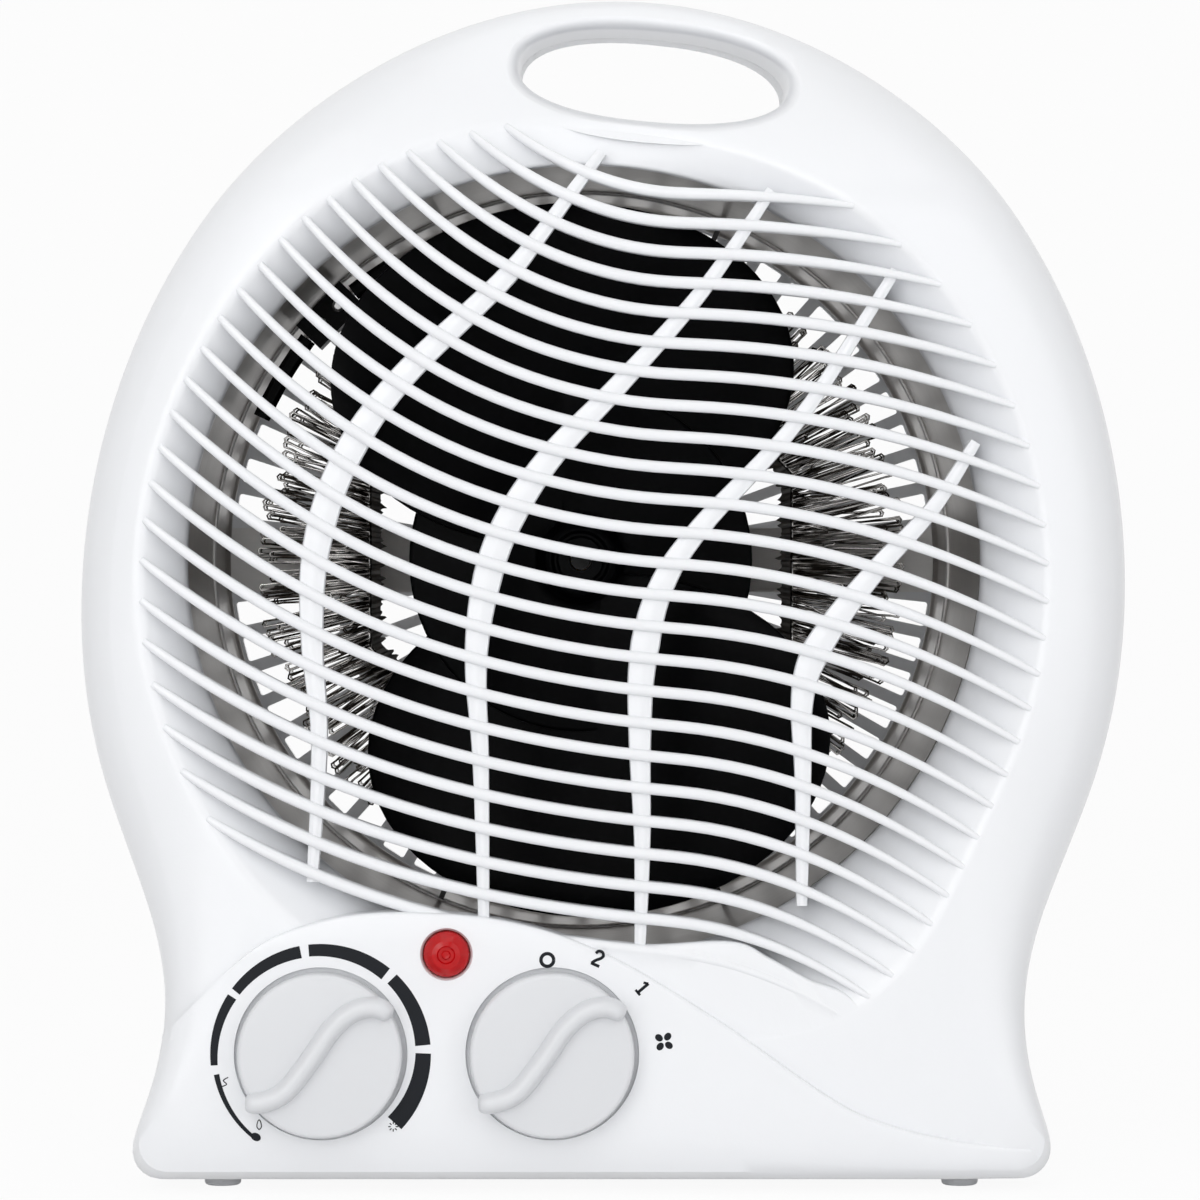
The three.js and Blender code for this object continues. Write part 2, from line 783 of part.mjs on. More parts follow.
function frontShell() {
  const outer = depthLevelShares.map((level) => levelRing(front, level));
  const inner = insideLevelShares.map((level) => levelRing(front, level, wall));
  const tips = tipRing(0, 0);
  const tipsInside = tipRing(wall, wall / 2);
  const rings = [
    ...outer,
    tips,
    rimRing(openingDepth, 0),
    rimRing(openingDepth - lipThickness, 0),
    tipsInside,
    ...inner.reverse(),
  ];
  let shell = solidOf(ringGeometry(rings, true));
  const filled = filledSide(front);

  const pocketLeft = thermostatX - switchWidth / 2 - clearance * 3;
  const pocketRight = selectorX + switchWidth / 2 + clearance * 3;
  const pocketTop = dialHeight + switchHeight / 2 + clearance * 3;
  const pocketLow = footHeight + wall + clearance;
  const pocketSize = [pocketRight - pocketLeft, skinInside - overrun, pocketTop - pocketLow];
  const pocketPlace = [
    (pocketLeft + pocketRight) / 2,
    -(skinInside + overrun) / 2,
    (pocketTop + pocketLow) / 2,
  ];
  const lampSpace = lampRadius + lampFlange + clearance;
  shell = shell
    .subtract(boxSolid(pocketSize, pocketPlace))
    .subtract(solidOf(rod(lampSpace, -skinInside, -overrun, 12, lampX, lampHeight)));

  const raised = filledSide(front, 0, panelRaise);
  shell = shell
    .add(raisedPlate(shoulderEdgeShares, filled, wall))
    .add(raisedPlate(panelEdgeShares, raised, panelEdgeDepth));

  const starts = Array.from({ length: finCount }, (_, i) => firstFinHeight - i * finPitch);
  const grille = joined([...starts.map(fin), ...ribPathShares.map(rib)]);
  shell = shell.add(grille);

  shell = shell.add(handleTunnel(front, filled)).subtract(handleSpace(front));

  shellScrewPlaces.forEach(([x, z]) => {
    const back = skinDepth(front, x, z, wall) - wall / 2;
    const boss = solidOf(rod(bossRadius, back, -partingGap / 2, 6, x, z)).intersect(filled);
    const pilot = rod(screwRadius + clearance, back + wall, overrun, 6, x, z);
    shell = shell.add(boss).subtract(solidOf(pilot));
  });
  footPlaces.filter(([, y]) => y < 0).forEach((place) => {
    shell = shell.add(footBoss(place)).subtract(footHole(place));
  });

  dials.forEach((x) => {
    const recess = rod(knobRadius + knobGap, -recessFloor, -panelFront - overrun, 20, x, dialHeight);
    const bore = rod(spindleRadius + clearance, -panelFront, -overrun, 12, x, dialHeight);
    shell = shell.subtract(solidOf(recess)).subtract(solidOf(bore));
    [-1, 1].forEach((side) => {
      const place = x + side * controlScrewOffset;
      const hole = rod(screwRadius + clearance, -panelFront, -overrun, 6, place, dialHeight);
      shell = shell.subtract(solidOf(hole));
    });
  });
  const lampHole = rod(lampRadius + clearance, -panelFront - overrun, -overrun, 12, lampX, lampHeight);
  return shell.subtract(solidOf(lampHole));
}

// A wedge-shaped air slot between two radii, with a bar of even width on each side.
function intakeSlot(index) {
  const pitch = (2 * Math.PI) / intakeSlotCount;
  const angle = (index + 0.5) * pitch;
  const halfAt = (radius) => radius * Math.sin(pitch / 2) - intakeBar / 2;
  const corner = (radius, half) => {
    const [x, z] = aroundAxis(radius, angle);
    return new THREE.Vector2(x - half * Math.sin(angle), z + half * Math.cos(angle));
  };
  const shape = new THREE.Shape([
    corner(intakeInnerRadius, -halfAt(intakeInnerRadius)),
    corner(intakeOuterRadius, -halfAt(intakeOuterRadius)),
    corner(intakeOuterRadius, halfAt(intakeOuterRadius)),
    corner(intakeInnerRadius, halfAt(intakeInnerRadius)),
  ]);
  return solidOf(plate(shape, rearDepth - overrun, rearDepth + overrun));
}

function rearShell() {
  const outer = depthLevelShares.map((level) => levelRing(rear, level));
  const inner = insideLevelShares.map((level) => levelRing(rear, level, wall));
  const rings = [
    ...faceRings(rear, inner[inner.length - 1], wall, 0, faceRingShares.rearInside).reverse(),
    ...[...inner].reverse(),
    ...outer,
    ...faceRings(rear, outer[outer.length - 1]),
  ];
  let shell = solidOf(ringGeometry(rings));
  const filled = filledSide(rear);
  shell = shell.add(handleTunnel(rear, filled)).subtract(handleSpace(rear));

  for (let i = 0; i < intakeSlotCount; i++) {
    shell = shell.subtract(intakeSlot(i));
  }

  shellScrewPlaces.forEach(([x, z]) => {
    const back = skinDepth(rear, x, z, wall) + wall / 2;
    const tube = solidOf(rod(bossRadius, partingGap / 2, back, 6, x, z)).intersect(filled);
    const hole = rod(screwRadius + clearance, -overrun, rearDepth, 6, x, z);
    const counterbore = rod(screwHeadRadius + clearance, shellScrewSeat, rearDepth + overrun, 8, x, z);
    shell = shell.add(tube).subtract(solidOf(hole)).subtract(solidOf(counterbore));
  });
  earAngles.forEach((angle) => {
    const [x, z] = aroundAxis(earRadius, angle);
    const behind = strapEarAngles.includes(angle) ? strapRear : ductRear;
    const post = rod(earPostRadius, behind + clearance, rearDepth, 8, x, z);
    const pilot = rod(screwRadius + clearance, ductRear, ductRear + shortScrewLength * 1.5, 6, x, z);
    shell = shell.add(solidOf(post).intersect(filled)).subtract(solidOf(pilot));
  });
  footPlaces.filter(([, y]) => y > 0).forEach((place) => {
    shell = shell.add(footBoss(place)).subtract(footHole(place));
  });

  const inletPad = rod(inletFlangeRadius + wall, rearDepth - inletSeat, rearDepth, 8, inletX, inletHeight);
  const seat = rearDepth - wall;
  const inletHole = rod(inletNeckRadius + clearance, overrun, rearDepth, 8, inletX, inletHeight);
  const inletFace = rod(inletFlangeRadius + clearance, seat, rearDepth + overrun, 8, inletX, inletHeight);
  return shell
    .add(solidOf(inletPad).intersect(filled))
    .subtract(solidOf(inletHole))
    .subtract(solidOf(inletFace));
}

function foot() {
  const profile = [
    [0, 0], [footRadius * 0.85, 0], [footRadius, footHeight * 0.3], [footRadius, footHeight],
    [footStemRadius, footHeight], [footStemRadius, footHeight + footStemLength],
    [0, footHeight + footStemLength],
  ];
  return turned(profile, 8).rotateX(Math.PI / 2);
}

// Screws: the tip points along +Y, the head's underside is at Y = 0.
function screw(length) {
  return turned([
    [0, length], [screwRadius, length - screwRadius], [screwRadius, 0],
    [screwHeadRadius, 0], [screwHeadRadius, -screwHeadHeight * 0.5],
    [screwHeadRadius * 0.6, -screwHeadHeight], [0, -screwHeadHeight],
  ], 8);
}

// Air duct

function airDuct() {
  const outer = ductRadius + ductThickness;
  const profile = [
    [ductRadius, ductFront], [outer, ductFront], [outer, ductRear], [ductRadius, ductRear],
    [ductRadius - ductBead, ductRear - ductBead], [ductRadius, ductRear - ductBead * 2],
    [ductRadius, ductFront],
  ];
  let duct = solidOf(turned(profile, 36, axisX, axisHeight));
  earAngles.forEach((angle) => {
    const [x, z] = aroundAxis(earRadius - ductThickness, angle);
    const ear = box(earReach, ductThickness, earWidth)
      .rotateY(-angle)
      .translate(x, ductRear - ductThickness / 2, z);
    const [holeX, holeZ] = aroundAxis(earRadius, angle);
    const hole = rod(screwRadius + clearance, ductRear - overrun, ductRear + overrun, 8, holeX, holeZ);
    duct = duct.add(solidOf(ear)).subtract(solidOf(hole));
  });
  return duct;
}

// Fan

// One broad oval paddle, pitched across its width and less so towards its tip.
function paddle(direction) {
  const middle = (fanRadius + paddleRootRadius) / 2;
  const reach = (fanRadius - paddleRootRadius) / 2;
  const surface = (share, turn, side) => {
    const along = middle + reach * share * Math.sin(turn);
    const across = paddleHalfWidth * share * Math.cos(turn);
    const slope = 0.26 - 0.1 * (along / fanRadius);
    return new THREE.Vector3(
      direction * across,
      across * slope + (side * paddleThickness) / 2,
      direction * along,
    );
  };
  const ring = (share, side) =>
    Array.from({ length: 18 }, (_, i) => surface(share, (i * Math.PI) / 9, side));
  return solidOf(
    ringGeometry([ring(0.55, -1), ring(1, -1), ring(1, 1), ring(0.55, 1)]),
  );
}

function fanImpeller() {
  const discFront = -hubDiscThickness / 2;
  const hub = turned([
    [0, -hubLength / 2], [hubRadius * 0.8, -hubLength / 2], [hubRadius, discFront],
    [hubDiscRadius, discFront], [hubDiscRadius, -discFront], [hubRadius, -discFront],
    [hubRadius, hubLength / 2], [0, hubLength / 2],
  ], 18);
  const bore = rod(shaftRadius + clearance, -overrun, overrun, 12);
  return joined([solidOf(hub), paddle(1), paddle(-1)]).subtract(solidOf(bore));
}

// Heating element

const coreReach = (angle) => {
  const eighth = Math.PI / 4;
  const turn = (((angle % eighth) + eighth * 1.5) % eighth) - eighth / 2;
  return coreApothem / Math.cos(turn);
};

function octagonSleeve(inner, outer, from, to) {
  const ring = (apothem, y) =>
    Array.from({ length: 8 }, (_, i) => {
      const turn = ((i + 0.5) * Math.PI) / 4;
      const radius = apothem / Math.cos(Math.PI / 8);
      return new THREE.Vector3(radius * Math.cos(turn), y, radius * Math.sin(turn));
    });
  return ringGeometry([ring(inner, from), ring(outer, from), ring(outer, to), ring(inner, to)], true);
}

// Out and back loops all round the core, as one unbroken wire that waves forwards and backwards.
function windingPath(depth) {
  const points = [];
  const pitch = (2 * Math.PI) / loopCount;
  const base = wireRadius + clearance;
  const add = (radius, angle, wave) =>
    points.push(
      new THREE.Vector3(
        radius * Math.cos(angle),
        depth + wave * wireWaviness,
        radius * Math.sin(angle),
      ),
    );
  for (let i = 0; i < loopCount; i++) {
    const angle = (i + 0.5) * pitch;
    const spread = pitch / 4;
    const tipSpread = loopTurnRadius / loopTipRadius;
    const side = i % 2 === 0 ? 1 : -1;
    add(coreReach(angle - spread) + base, angle - spread, 0);
    add(loopTipRadius - loopTurnRadius, angle - tipSpread, side);
    add(loopTipRadius, angle, side);
    add(loopTipRadius - loopTurnRadius, angle + tipSpread, side);
    add(coreReach(angle + spread) + base, angle + spread, 0);
  }
  return points;
}

// The least distance between parts of a wire that do not follow each other closely.
function leastGap(points) {
  const near = 3;
  let least = Infinity;
  points.forEach((p, i) => {
    points.slice(i + near).forEach((q) => {
      least = Math.min(least, p.distanceTo(q) - 2 * wireRadius);
    });
  });
  return least;
}

function winding(depth) {
  const points = windingPath(depth);
  console.log("least gap in a winding:", leastGap(points).toFixed(2), "mm");
  return wire(points, wireRadius, 4);
}

const elementArm = () =>
  box(ductRadius - clearance - coreApothem / Math.cos(Math.PI / 8) - clearance, armWidth, armThickness)
    .translate((ductRadius + coreApothem / Math.cos(Math.PI / 8)) / 2, 0, 0);

// Motor, centred on the axis

function motorCore() {
  const shape = new THREE.Shape([
    new THREE.Vector2(-coreHalfWidth, -coreBottom),
    new THREE.Vector2(coreHalfWidth, -coreBottom),
    new THREE.Vector2(coreHalfWidth, coreTop),
    new THREE.Vector2(-coreHalfWidth, coreTop),
  ]);
  const bore = new THREE.Path();
  bore.absarc(0, 0, rotorRadius + airGap, 0, Math.PI * 2, true);
  const windowHalf = coilLength / 2 + clearance;
  const windowLow = coreLeg - coreBottom;
  const windowHigh = windowLow + coilThickness + clearance * 2;
  const window = new THREE.Path([
    new THREE.Vector2(-windowHalf, windowLow),
    new THREE.Vector2(-windowHalf, windowHigh),
    new THREE.Vector2(windowHalf, windowHigh),
    new THREE.Vector2(windowHalf, windowLow),
  ]);
  shape.holes.push(bore, window);
  let core = solidOf(plate(shape, coreFront, coreFront + coreDepth));
  motorScrewPlaces.forEach(([x, z]) => {
    const hole = rod(screwRadius + clearance, 0, coreRear + overrun, 6, x, z);
    core = core.subtract(solidOf(hole));
  });
  return core;
}

// The coil round the core's lower leg.
function motorCoil() {
  const hole = coreLeg + clearance * 2;
  const depthHole = coreDepth + clearance * 2;
  const outside = box(coilLength, depthHole + coilThickness * 2, hole + coilThickness * 2);
  const inside = box(coilLength + overrun, depthHole, hole);
  return solidOf(outside)
    .subtract(solidOf(inside))
    .translate(0, coreFront + coreDepth / 2, coreLeg / 2 - coreBottom);
}

// A bearing bracket: a flat bar with a hole for the bearing and one for each motor screw.
function bracket(front) {
  const size = [coreHalfWidth * 2, bracketThickness, bracketWidth];
  let bar = boxSolid(size, [0, front + bracketThickness / 2, 0]);
  bar = bar.add(solidOf(rod(bearingRadius + bracketEyeWall, front, front + bracketThickness, 12)));
  bar = bar.subtract(solidOf(rod(bearingRadius + clearance, front - overrun, front + overrun, 10)));
  motorScrewPlaces.forEach(([x, z]) => {
    bar = bar.subtract(solidOf(rod(screwRadius + clearance, front - overrun, front + overrun, 6, x, z)));
  });
  return bar;
}

// The flat bar across the back of the duct that carries the motor.
function motorStrap() {
  const middle = ductRear + clearance + strapThickness / 2;
  const length = (earRadius + earReach / 2) * 2;
  let strap = boxSolid([length, strapThickness, strapWidth], [0, middle, 0]);
  const holes = [...motorScrewPlaces, [earRadius, 0], [-earRadius, 0]];
  holes.forEach(([x, z]) => {
    strap = strap.subtract(solidOf(rod(screwRadius + clearance, ductRear, ductRear + overrun, 8, x, z)));
  });
  return strap;
}

// Thermal cut-out, a riveted block at the duct's wall with two sleeved leads

const cutoutAngle = (135.7 * Math.PI) / 180;
const cutoutRadius = ductRadius - clearance * 3 - cutoutHeight / 2;

function thermalCutout() {
  let block = boxSolid([cutoutHeight, cutoutLength, cutoutWidth], [0, cutoutLength / 2, 0]);
  rivetOffsets.forEach((z) => {
    const hole = rod(rivetRadius * 0.6 + clearance, -overrun, cutoutLength / 2, 10, 0, z);
    block = block.subtract(solidOf(hole));
  });
  return block;
}

const rivetOffsets = [-cutoutWidth / 5, cutoutWidth / 5];

const rivet = () =>
  turned([
    [0, -rivetHeight - clearance], [rivetRadius * 0.6, -rivetHeight - clearance],
    [rivetRadius, -clearance - rivetHeight / 2], [rivetRadius, -clearance],
    [rivetRadius * 0.6, -clearance], [rivetRadius * 0.6, cutoutLength / 3], [0, cutoutLength / 3],
  ], 8);

// A sleeved lead along the duct's wall, away from the block in one direction round the axis.
function sleevedLead(direction, sweep) {
  const start = (cutoutWidth / 2 + clearance) / cutoutRadius;
  const steps = 5;
  const points = Array.from({ length: steps + 1 }, (_, i) => {
    const angle = cutoutAngle + direction * (start + (sweep * i) / steps);
    const radius = cutoutRadius / Math.cos(direction * start * (1 - i / steps));
    return new THREE.Vector3(radius * Math.cos(angle), 0, radius * Math.sin(angle));
  });
  return wire(points, sleeveRadius, 6);
}

// Controls, each turned about its own axis at X = 0, Z = 0

function knob() {
  const back = -recessFloor - clearance;
  const face = back - knobHeight;
  const profile = [
    [0, back], [knobHubRadius, back], [knobHubRadius, face + knobWall],
    [knobRadius - knobWall, face + knobWall], [knobRadius - knobWall, back],
    [knobRadius, back], [knobRadius, face + knobWall / 2],
    [knobRadius - knobWall / 2, face], [0, face],
  ];
  const path = new THREE.SplineCurve(
    ridgePathShares.map(([x, z]) => new THREE.Vector2(x * knobRadius, z * knobRadius)),
  ).getPoints(8);
  const side = (sign) =>
    path.map((p, i) => {
      const ahead = path[Math.min(i + 1, path.length - 1)];
      const behind = path[Math.max(i - 1, 0)];
      const along = ahead.clone().sub(behind).normalize();
      const half = (sign * ridgeWidth) / 2;
      return new THREE.Vector2(p.x - along.y * half, p.y + along.x * half);
    });
  const outline = new THREE.Shape([...side(1), ...side(-1).reverse()]);
  const ridge = plate(outline, face - ridgeHeight, face + knobWall / 2);
  const bore = rod(spindleRadius + clearance, back + overrun, face + knobWall, 12);
  return solidOf(turned(profile, 20)).add(solidOf(ridge)).subtract(solidOf(bore));
}

const spindleFront = -recessFloor - clearance - knobHeight + knobWall + clearance;

// A control's housing behind the panel, with a blind bore for its spindle and one for each screw.
function controlHousing(width, depth, height, spindleEnd) {
  const front = -skinInside + clearance;
  const screwEnd = front + shortScrewLength;
  let housing = boxSolid([width, depth, height], [0, front + depth / 2, 0]);
  const bore = rod(spindleRadius + clearance, front - overrun, spindleEnd + clearance, 12);
  housing = housing.subtract(solidOf(bore));
  [-1, 1].forEach((side) => {
    const hole = rod(screwRadius + clearance, front - overrun, screwEnd, 8, side * controlScrewOffset);
    housing = housing.subtract(solidOf(hole));
  });
  return housing;
}

function bimetalStrip() {
  const y = -skinInside + clearance * 2 + thermostatDepth + bimetalThickness / 2;
  return box(bimetalWidth, bimetalThickness, bimetalLength).translate(0, y, 0);
}

function lampLens() {
  const face = -panelFront;
  const back = -skinInside;
  const profile = [[0, back + lampFlange], [lampRadius + lampFlange, back + lampFlange]];
  profile.push([lampRadius + lampFlange, back], [lampRadius, back], [lampRadius, face]);
  profile.push([lampRadius * 0.8, face - lampDome * 0.6], [lampRadius * 0.45, face - lampDome]);
  profile.push([0, face - lampDome * 0.9]);
  return turned(profile, 10);
}

const lampBody = () => {
  const front = -skinInside + lampFlange + clearance;
  return rod(lampBodyRadius, front, front + lampBodyLength, 10);
};

// Cord inlet and terminals

function cordBush() {
  const seat = rearDepth - wall;
  const outside = seat + clearance + inletFlangeThickness;
  const inside = rearDepth - inletSeat - clearance;
  return turned([
    [inletRadius, inside - inletFlangeThickness], [inletFlangeRadius * 0.85, inside - inletFlangeThickness],
    [inletFlangeRadius * 0.85, inside], [inletNeckRadius, inside], [inletNeckRadius, seat + clearance],
    [inletFlangeRadius, seat + clearance], [inletFlangeRadius, outside], [inletRadius, outside],
    [inletRadius, inside - inletFlangeThickness],
  ], 8);
}

function terminalBlock() {
  let block = boxSolid([terminalWidth, terminalDepth, terminalHeight], [0, 0, 0]);
  const pitch = terminalWidth / 3;
  [-1, 0, 1].forEach((i) => {
    const well = new THREE.CylinderGeometry(screwHeadRadius, screwHeadRadius, terminalHeight / 2, 6)
      .rotateX(Math.PI / 2)
      .translate(i * pitch, 0, terminalHeight / 2);
    block = block.subtract(solidOf(well));
  });
  return block;
}

// Assembly

const heater = new THREE.Group();

function addPiece(name, shape, material, place = [0, 0, 0], turn = [0, 0, 0], parent = heater) {
  const geometry = shape.isBufferGeometry ? outward(shape) : geometryOf(shape);
  geometry.computeVertexNormals();
  const mesh = new THREE.Mesh(geometry, material.clone());
  mesh.name = name;
  mesh.position.set(...place);
  mesh.rotation.set(...turn);
  parent.add(mesh);
  return mesh;
}

addPiece("front_shell", frontShell(), whitePlastic);
addPiece("rear_shell", rearShell(), whitePlastic);
footPlaces.forEach(([x, y], i) => addPiece(`foot_${i + 1}`, foot(), greyRubber, [x, y, 0]));
shellScrewPlaces.forEach(([x, z], i) => {
  const head = shellScrewSeat + clearance;
  addPiece(`shell_screw_${i + 1}`, screw(shellScrewLength), steel, [x, head, z], [Math.PI, 0, 0]);
});

addPiece("air_duct", airDuct(), aluminium);
const drum = new THREE.Group();
drum.position.set(axisX, 0, axisHeight);
heater.add(drum);
const onDrum = (name, shape, material, place = [0, 0, 0], turn = [0, 0, 0]) =>
  addPiece(name, shape, material, place, turn, drum);

earAngles.forEach((angle, i) => {
  const place = [
    earRadius * Math.cos(angle),
    ductRear - ductThickness - clearance,
    earRadius * Math.sin(angle),
  ];
  onDrum(`duct_screw_${i + 1}`, screw(shortScrewLength), steel, place);
});

onDrum("fan_impeller", fanImpeller(), blackPlastic, [0, -fanCentreDepth, 0], [0, -fanRestTurn, 0]);
const nutRear = -fanCentreDepth - hubLength / 2 - clearance;
const nutBore = shaftRadius + clearance;
onDrum("fan_nut", sleeve(nutBore, fanNutRadius, nutRear - fanNutThickness, nutRear, 12), blackPlastic);
onDrum("motor_shaft", rod(shaftRadius, shaftFront, shaftRear, 12), steel);

const coreSleeve = octagonSleeve(coreApothem - coreThickness, coreApothem, elementFront, elementRear);
onDrum("element_core", coreSleeve, mica);
onDrum("heating_wire_low", winding(lowWireDepth), nichrome);
onDrum("heating_wire_high", winding(highWireDepth), nichrome);
const armMiddle = (lowWireDepth + highWireDepth) / 2;
armAngles.forEach((angle, i) => {
  onDrum(`element_arm_${i + 1}`, elementArm(), mica, [0, armMiddle, 0], [0, -angle, 0]);
});

const cutoutPlace = [
  cutoutRadius * Math.cos(cutoutAngle),
  cutoutFront,
  cutoutRadius * Math.sin(cutoutAngle),
];
const cutout = new THREE.Group();
cutout.position.set(...cutoutPlace);
cutout.rotation.y = -cutoutAngle;
drum.add(cutout);
addPiece("thermal_cutout", thermalCutout(), bakelite, [0, 0, 0], [0, 0, 0], cutout);
rivetOffsets.forEach((z, i) => {
  addPiece(`cutout_rivet_${i + 1}`, rivet(), steel, [0, 0, z], [0, 0, 0], cutout);
});
const leadDepth = cutoutFront + cutoutLength / 2;
onDrum("cutout_lead_long", sleevedLead(1, longLeadSweep), blackPlastic, [0, leadDepth, 0]);
onDrum("cutout_lead_short", sleevedLead(-1, shortLeadSweep), blackPlastic, [0, leadDepth, 0]);

onDrum("motor_core", motorCore(), lamination);
onDrum("motor_coil", motorCoil(), copper);
const bearingFrom = (front) => front + (bracketThickness - bearingLength) / 2;
const frontBearing = bearingFrom(frontBracketFront);
const rearBearing = bearingFrom(rearBracketFront);
const rotorEnds = [frontBearing + bearingLength + clearance, rearBearing - clearance];
onDrum("motor_rotor", sleeve(shaftRadius + clearance, rotorRadius, ...rotorEnds, 16), steel);
onDrum("bracket_front", bracket(frontBracketFront), steel);
onDrum("bracket_rear", bracket(rearBracketFront), steel);
[frontBearing, rearBearing].forEach((from, i) => {
  const bush = sleeve(shaftRadius + clearance, bearingRadius, from, from + bearingLength, 10);
  onDrum(`bearing_${i + 1}`, bush, bronze);
});
onDrum("motor_strap", motorStrap(), steel);
const standoffFrom = rearBracketFront + bracketThickness + clearance;
motorScrewPlaces.forEach(([x, z], i) => {
  const post = sleeve(screwRadius + clearance, standoffRadius, standoffFrom, ductRear, 8, x, z);
  onDrum(`motor_standoff_${i + 1}`, post, steel);
  const length = strapRear - frontBracketFront + clearance;
  onDrum(`motor_screw_${i + 1}`, screw(length), steel, [x, strapRear + clearance, z], [Math.PI, 0, 0]);
});

const controls = [
  { name: "thermostat", x: thermostatX, size: [thermostatWidth, thermostatDepth, thermostatHeight] },
  { name: "selector", x: selectorX, size: [switchWidth, switchDepth, switchHeight] },
];
controls.forEach(({ name, x, size }) => {
  const spindleEnd = -skinInside + size[1] / 2;
  const place = [x, 0, dialHeight];
  addPiece(`${name}_housing`, controlHousing(...size, spindleEnd), bakelite, place);
  addPiece(`${name}_knob`, knob(), knobPlastic, place);
  addPiece(`${name}_spindle`, rod(spindleRadius, spindleFront, spindleEnd, 12), steel, place);
  [-1, 1].forEach((side, i) => {
    const head = [x + side * controlScrewOffset, -recessFloor - clearance, dialHeight];
    addPiece(`${name}_screw_${i + 1}`, screw(shortScrewLength), steel, head);
  });
});
addPiece("bimetal_strip", bimetalStrip(), bronze, [thermostatX, 0, dialHeight]);
addPiece("lamp_lens", lampLens(), redLens, [lampX, 0, lampHeight]);
addPiece("lamp_body", lampBody(), clearGlass, [lampX, 0, lampHeight]);
addPiece("cord_bush", cordBush(), blackPlastic, [inletX, 0, inletHeight]);
const terminalPlace = [terminalX, rearDepth / 2, footHeight + wall + terminalHeight / 2 + clearance];
addPiece("terminal_block", terminalBlock(), knobPlastic, terminalPlace);

const extent = new THREE.Box3().setFromObject(heater);
const middle = extent.getCenter(new THREE.Vector3());
heater.position.set(-middle.x, -middle.y, -extent.min.z);

export default heater;
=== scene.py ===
"""The looks of a free-standing fan heater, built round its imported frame.

Everything is in metres, with X to the right, the front towards -Y and Z up. The case is a front and a rear
shell that meet at a parting plane; behind the swept grille lie a metal duct, a two-paddle fan and a brush of
heating wire.
"""
import logging
import math
from bisect import bisect_right
from dataclasses import dataclass, field
from enum import Enum
from typing import Callable, Iterable, Sequence

import bmesh
import bpy
from mathutils import Matrix, Vector


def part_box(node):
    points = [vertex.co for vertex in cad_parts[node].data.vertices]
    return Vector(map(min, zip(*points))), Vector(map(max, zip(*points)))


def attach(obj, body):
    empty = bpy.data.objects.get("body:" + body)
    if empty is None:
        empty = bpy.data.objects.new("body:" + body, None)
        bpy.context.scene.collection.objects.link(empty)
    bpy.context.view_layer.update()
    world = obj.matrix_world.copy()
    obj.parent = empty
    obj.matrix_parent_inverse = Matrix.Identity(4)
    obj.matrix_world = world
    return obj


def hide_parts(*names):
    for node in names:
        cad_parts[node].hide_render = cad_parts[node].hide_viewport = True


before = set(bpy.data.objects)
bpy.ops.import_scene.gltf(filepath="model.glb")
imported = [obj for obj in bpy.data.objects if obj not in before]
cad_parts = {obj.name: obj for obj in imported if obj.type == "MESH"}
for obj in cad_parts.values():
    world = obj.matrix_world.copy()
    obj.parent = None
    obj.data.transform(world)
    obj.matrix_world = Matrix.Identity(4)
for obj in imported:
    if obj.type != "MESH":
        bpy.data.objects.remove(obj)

LOG = logging.getLogger("fan_heater")
WELD = 1e-6
SMOOTH_ANGLE = math.radians(38)
CASE = "case"
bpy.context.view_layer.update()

Mesh = bmesh.types.BMesh
Pair = tuple[float, float]
Colour = tuple[float, float, float, float]


# Meshes


class Join(Enum):
    """How one closed mesh acts on another."""

    ADD = "UNION"
    CUT = "DIFFERENCE"


def bent_grid(columns: int, rows: int, place: Callable[[int, int], Vector], capped: bool = False) -> Mesh:
    """Bends a flat grid into a surface and merges the points that meet.

    Args:
        columns: The number of faces along the first direction.
        rows: The number of faces along the second direction.
        place: Where the point of a column and a row goes.
        capped: Whether open ends are closed with a face.

    Returns:
        The bent mesh, with its faces outwards.
    """
    mesh = bmesh.new()
    bmesh.ops.create_grid(mesh, x_segments=columns, y_segments=rows, size=0.5)
    for vert in mesh.verts:
        vert.co = place(round((vert.co.x + 0.5) * columns), round((vert.co.y + 0.5) * rows))
    bmesh.ops.remove_doubles(mesh, verts=mesh.verts, dist=WELD)
    if capped:
        bmesh.ops.holes_fill(mesh, edges=[edge for edge in mesh.edges if edge.is_boundary])
    bmesh.ops.recalc_face_normals(mesh, faces=mesh.faces)
    return mesh


def sweep(sections: Sequence[Sequence[Vector]]) -> Mesh:
    """Skins a row of closed sections that hold the same number of points, with a cap at each end."""
    count = len(sections[0])
    return bent_grid(count, len(sections) - 1, lambda c, r: sections[r][c % count], capped=True)


def lathe(profile: Sequence[Pair], steps: int, centre: Vector) -> Mesh:
    """Spins a profile round a line that runs from front to back.

    Args:
        profile: Points of radius and depth, the depth counted from the centre.
        steps: The number of faces round the line.
        centre: A point on the line.

    Returns:
        The spun mesh, with its faces outwards.
    """
    mesh = bmesh.new()
    verts = [mesh.verts.new(centre + Vector((radius, depth, 0))) for radius, depth in profile]
    edges = [mesh.edges.new(pair) for pair in zip(verts, verts[1:])]
    bmesh.ops.spin(
        mesh, geom=verts + edges, cent=centre, axis=(0, 1, 0), angle=math.tau, steps=steps, use_merge=True
    )
    bmesh.ops.remove_doubles(mesh, verts=mesh.verts, dist=WELD)
    bmesh.ops.recalc_face_normals(mesh, faces=mesh.faces)
    return mesh


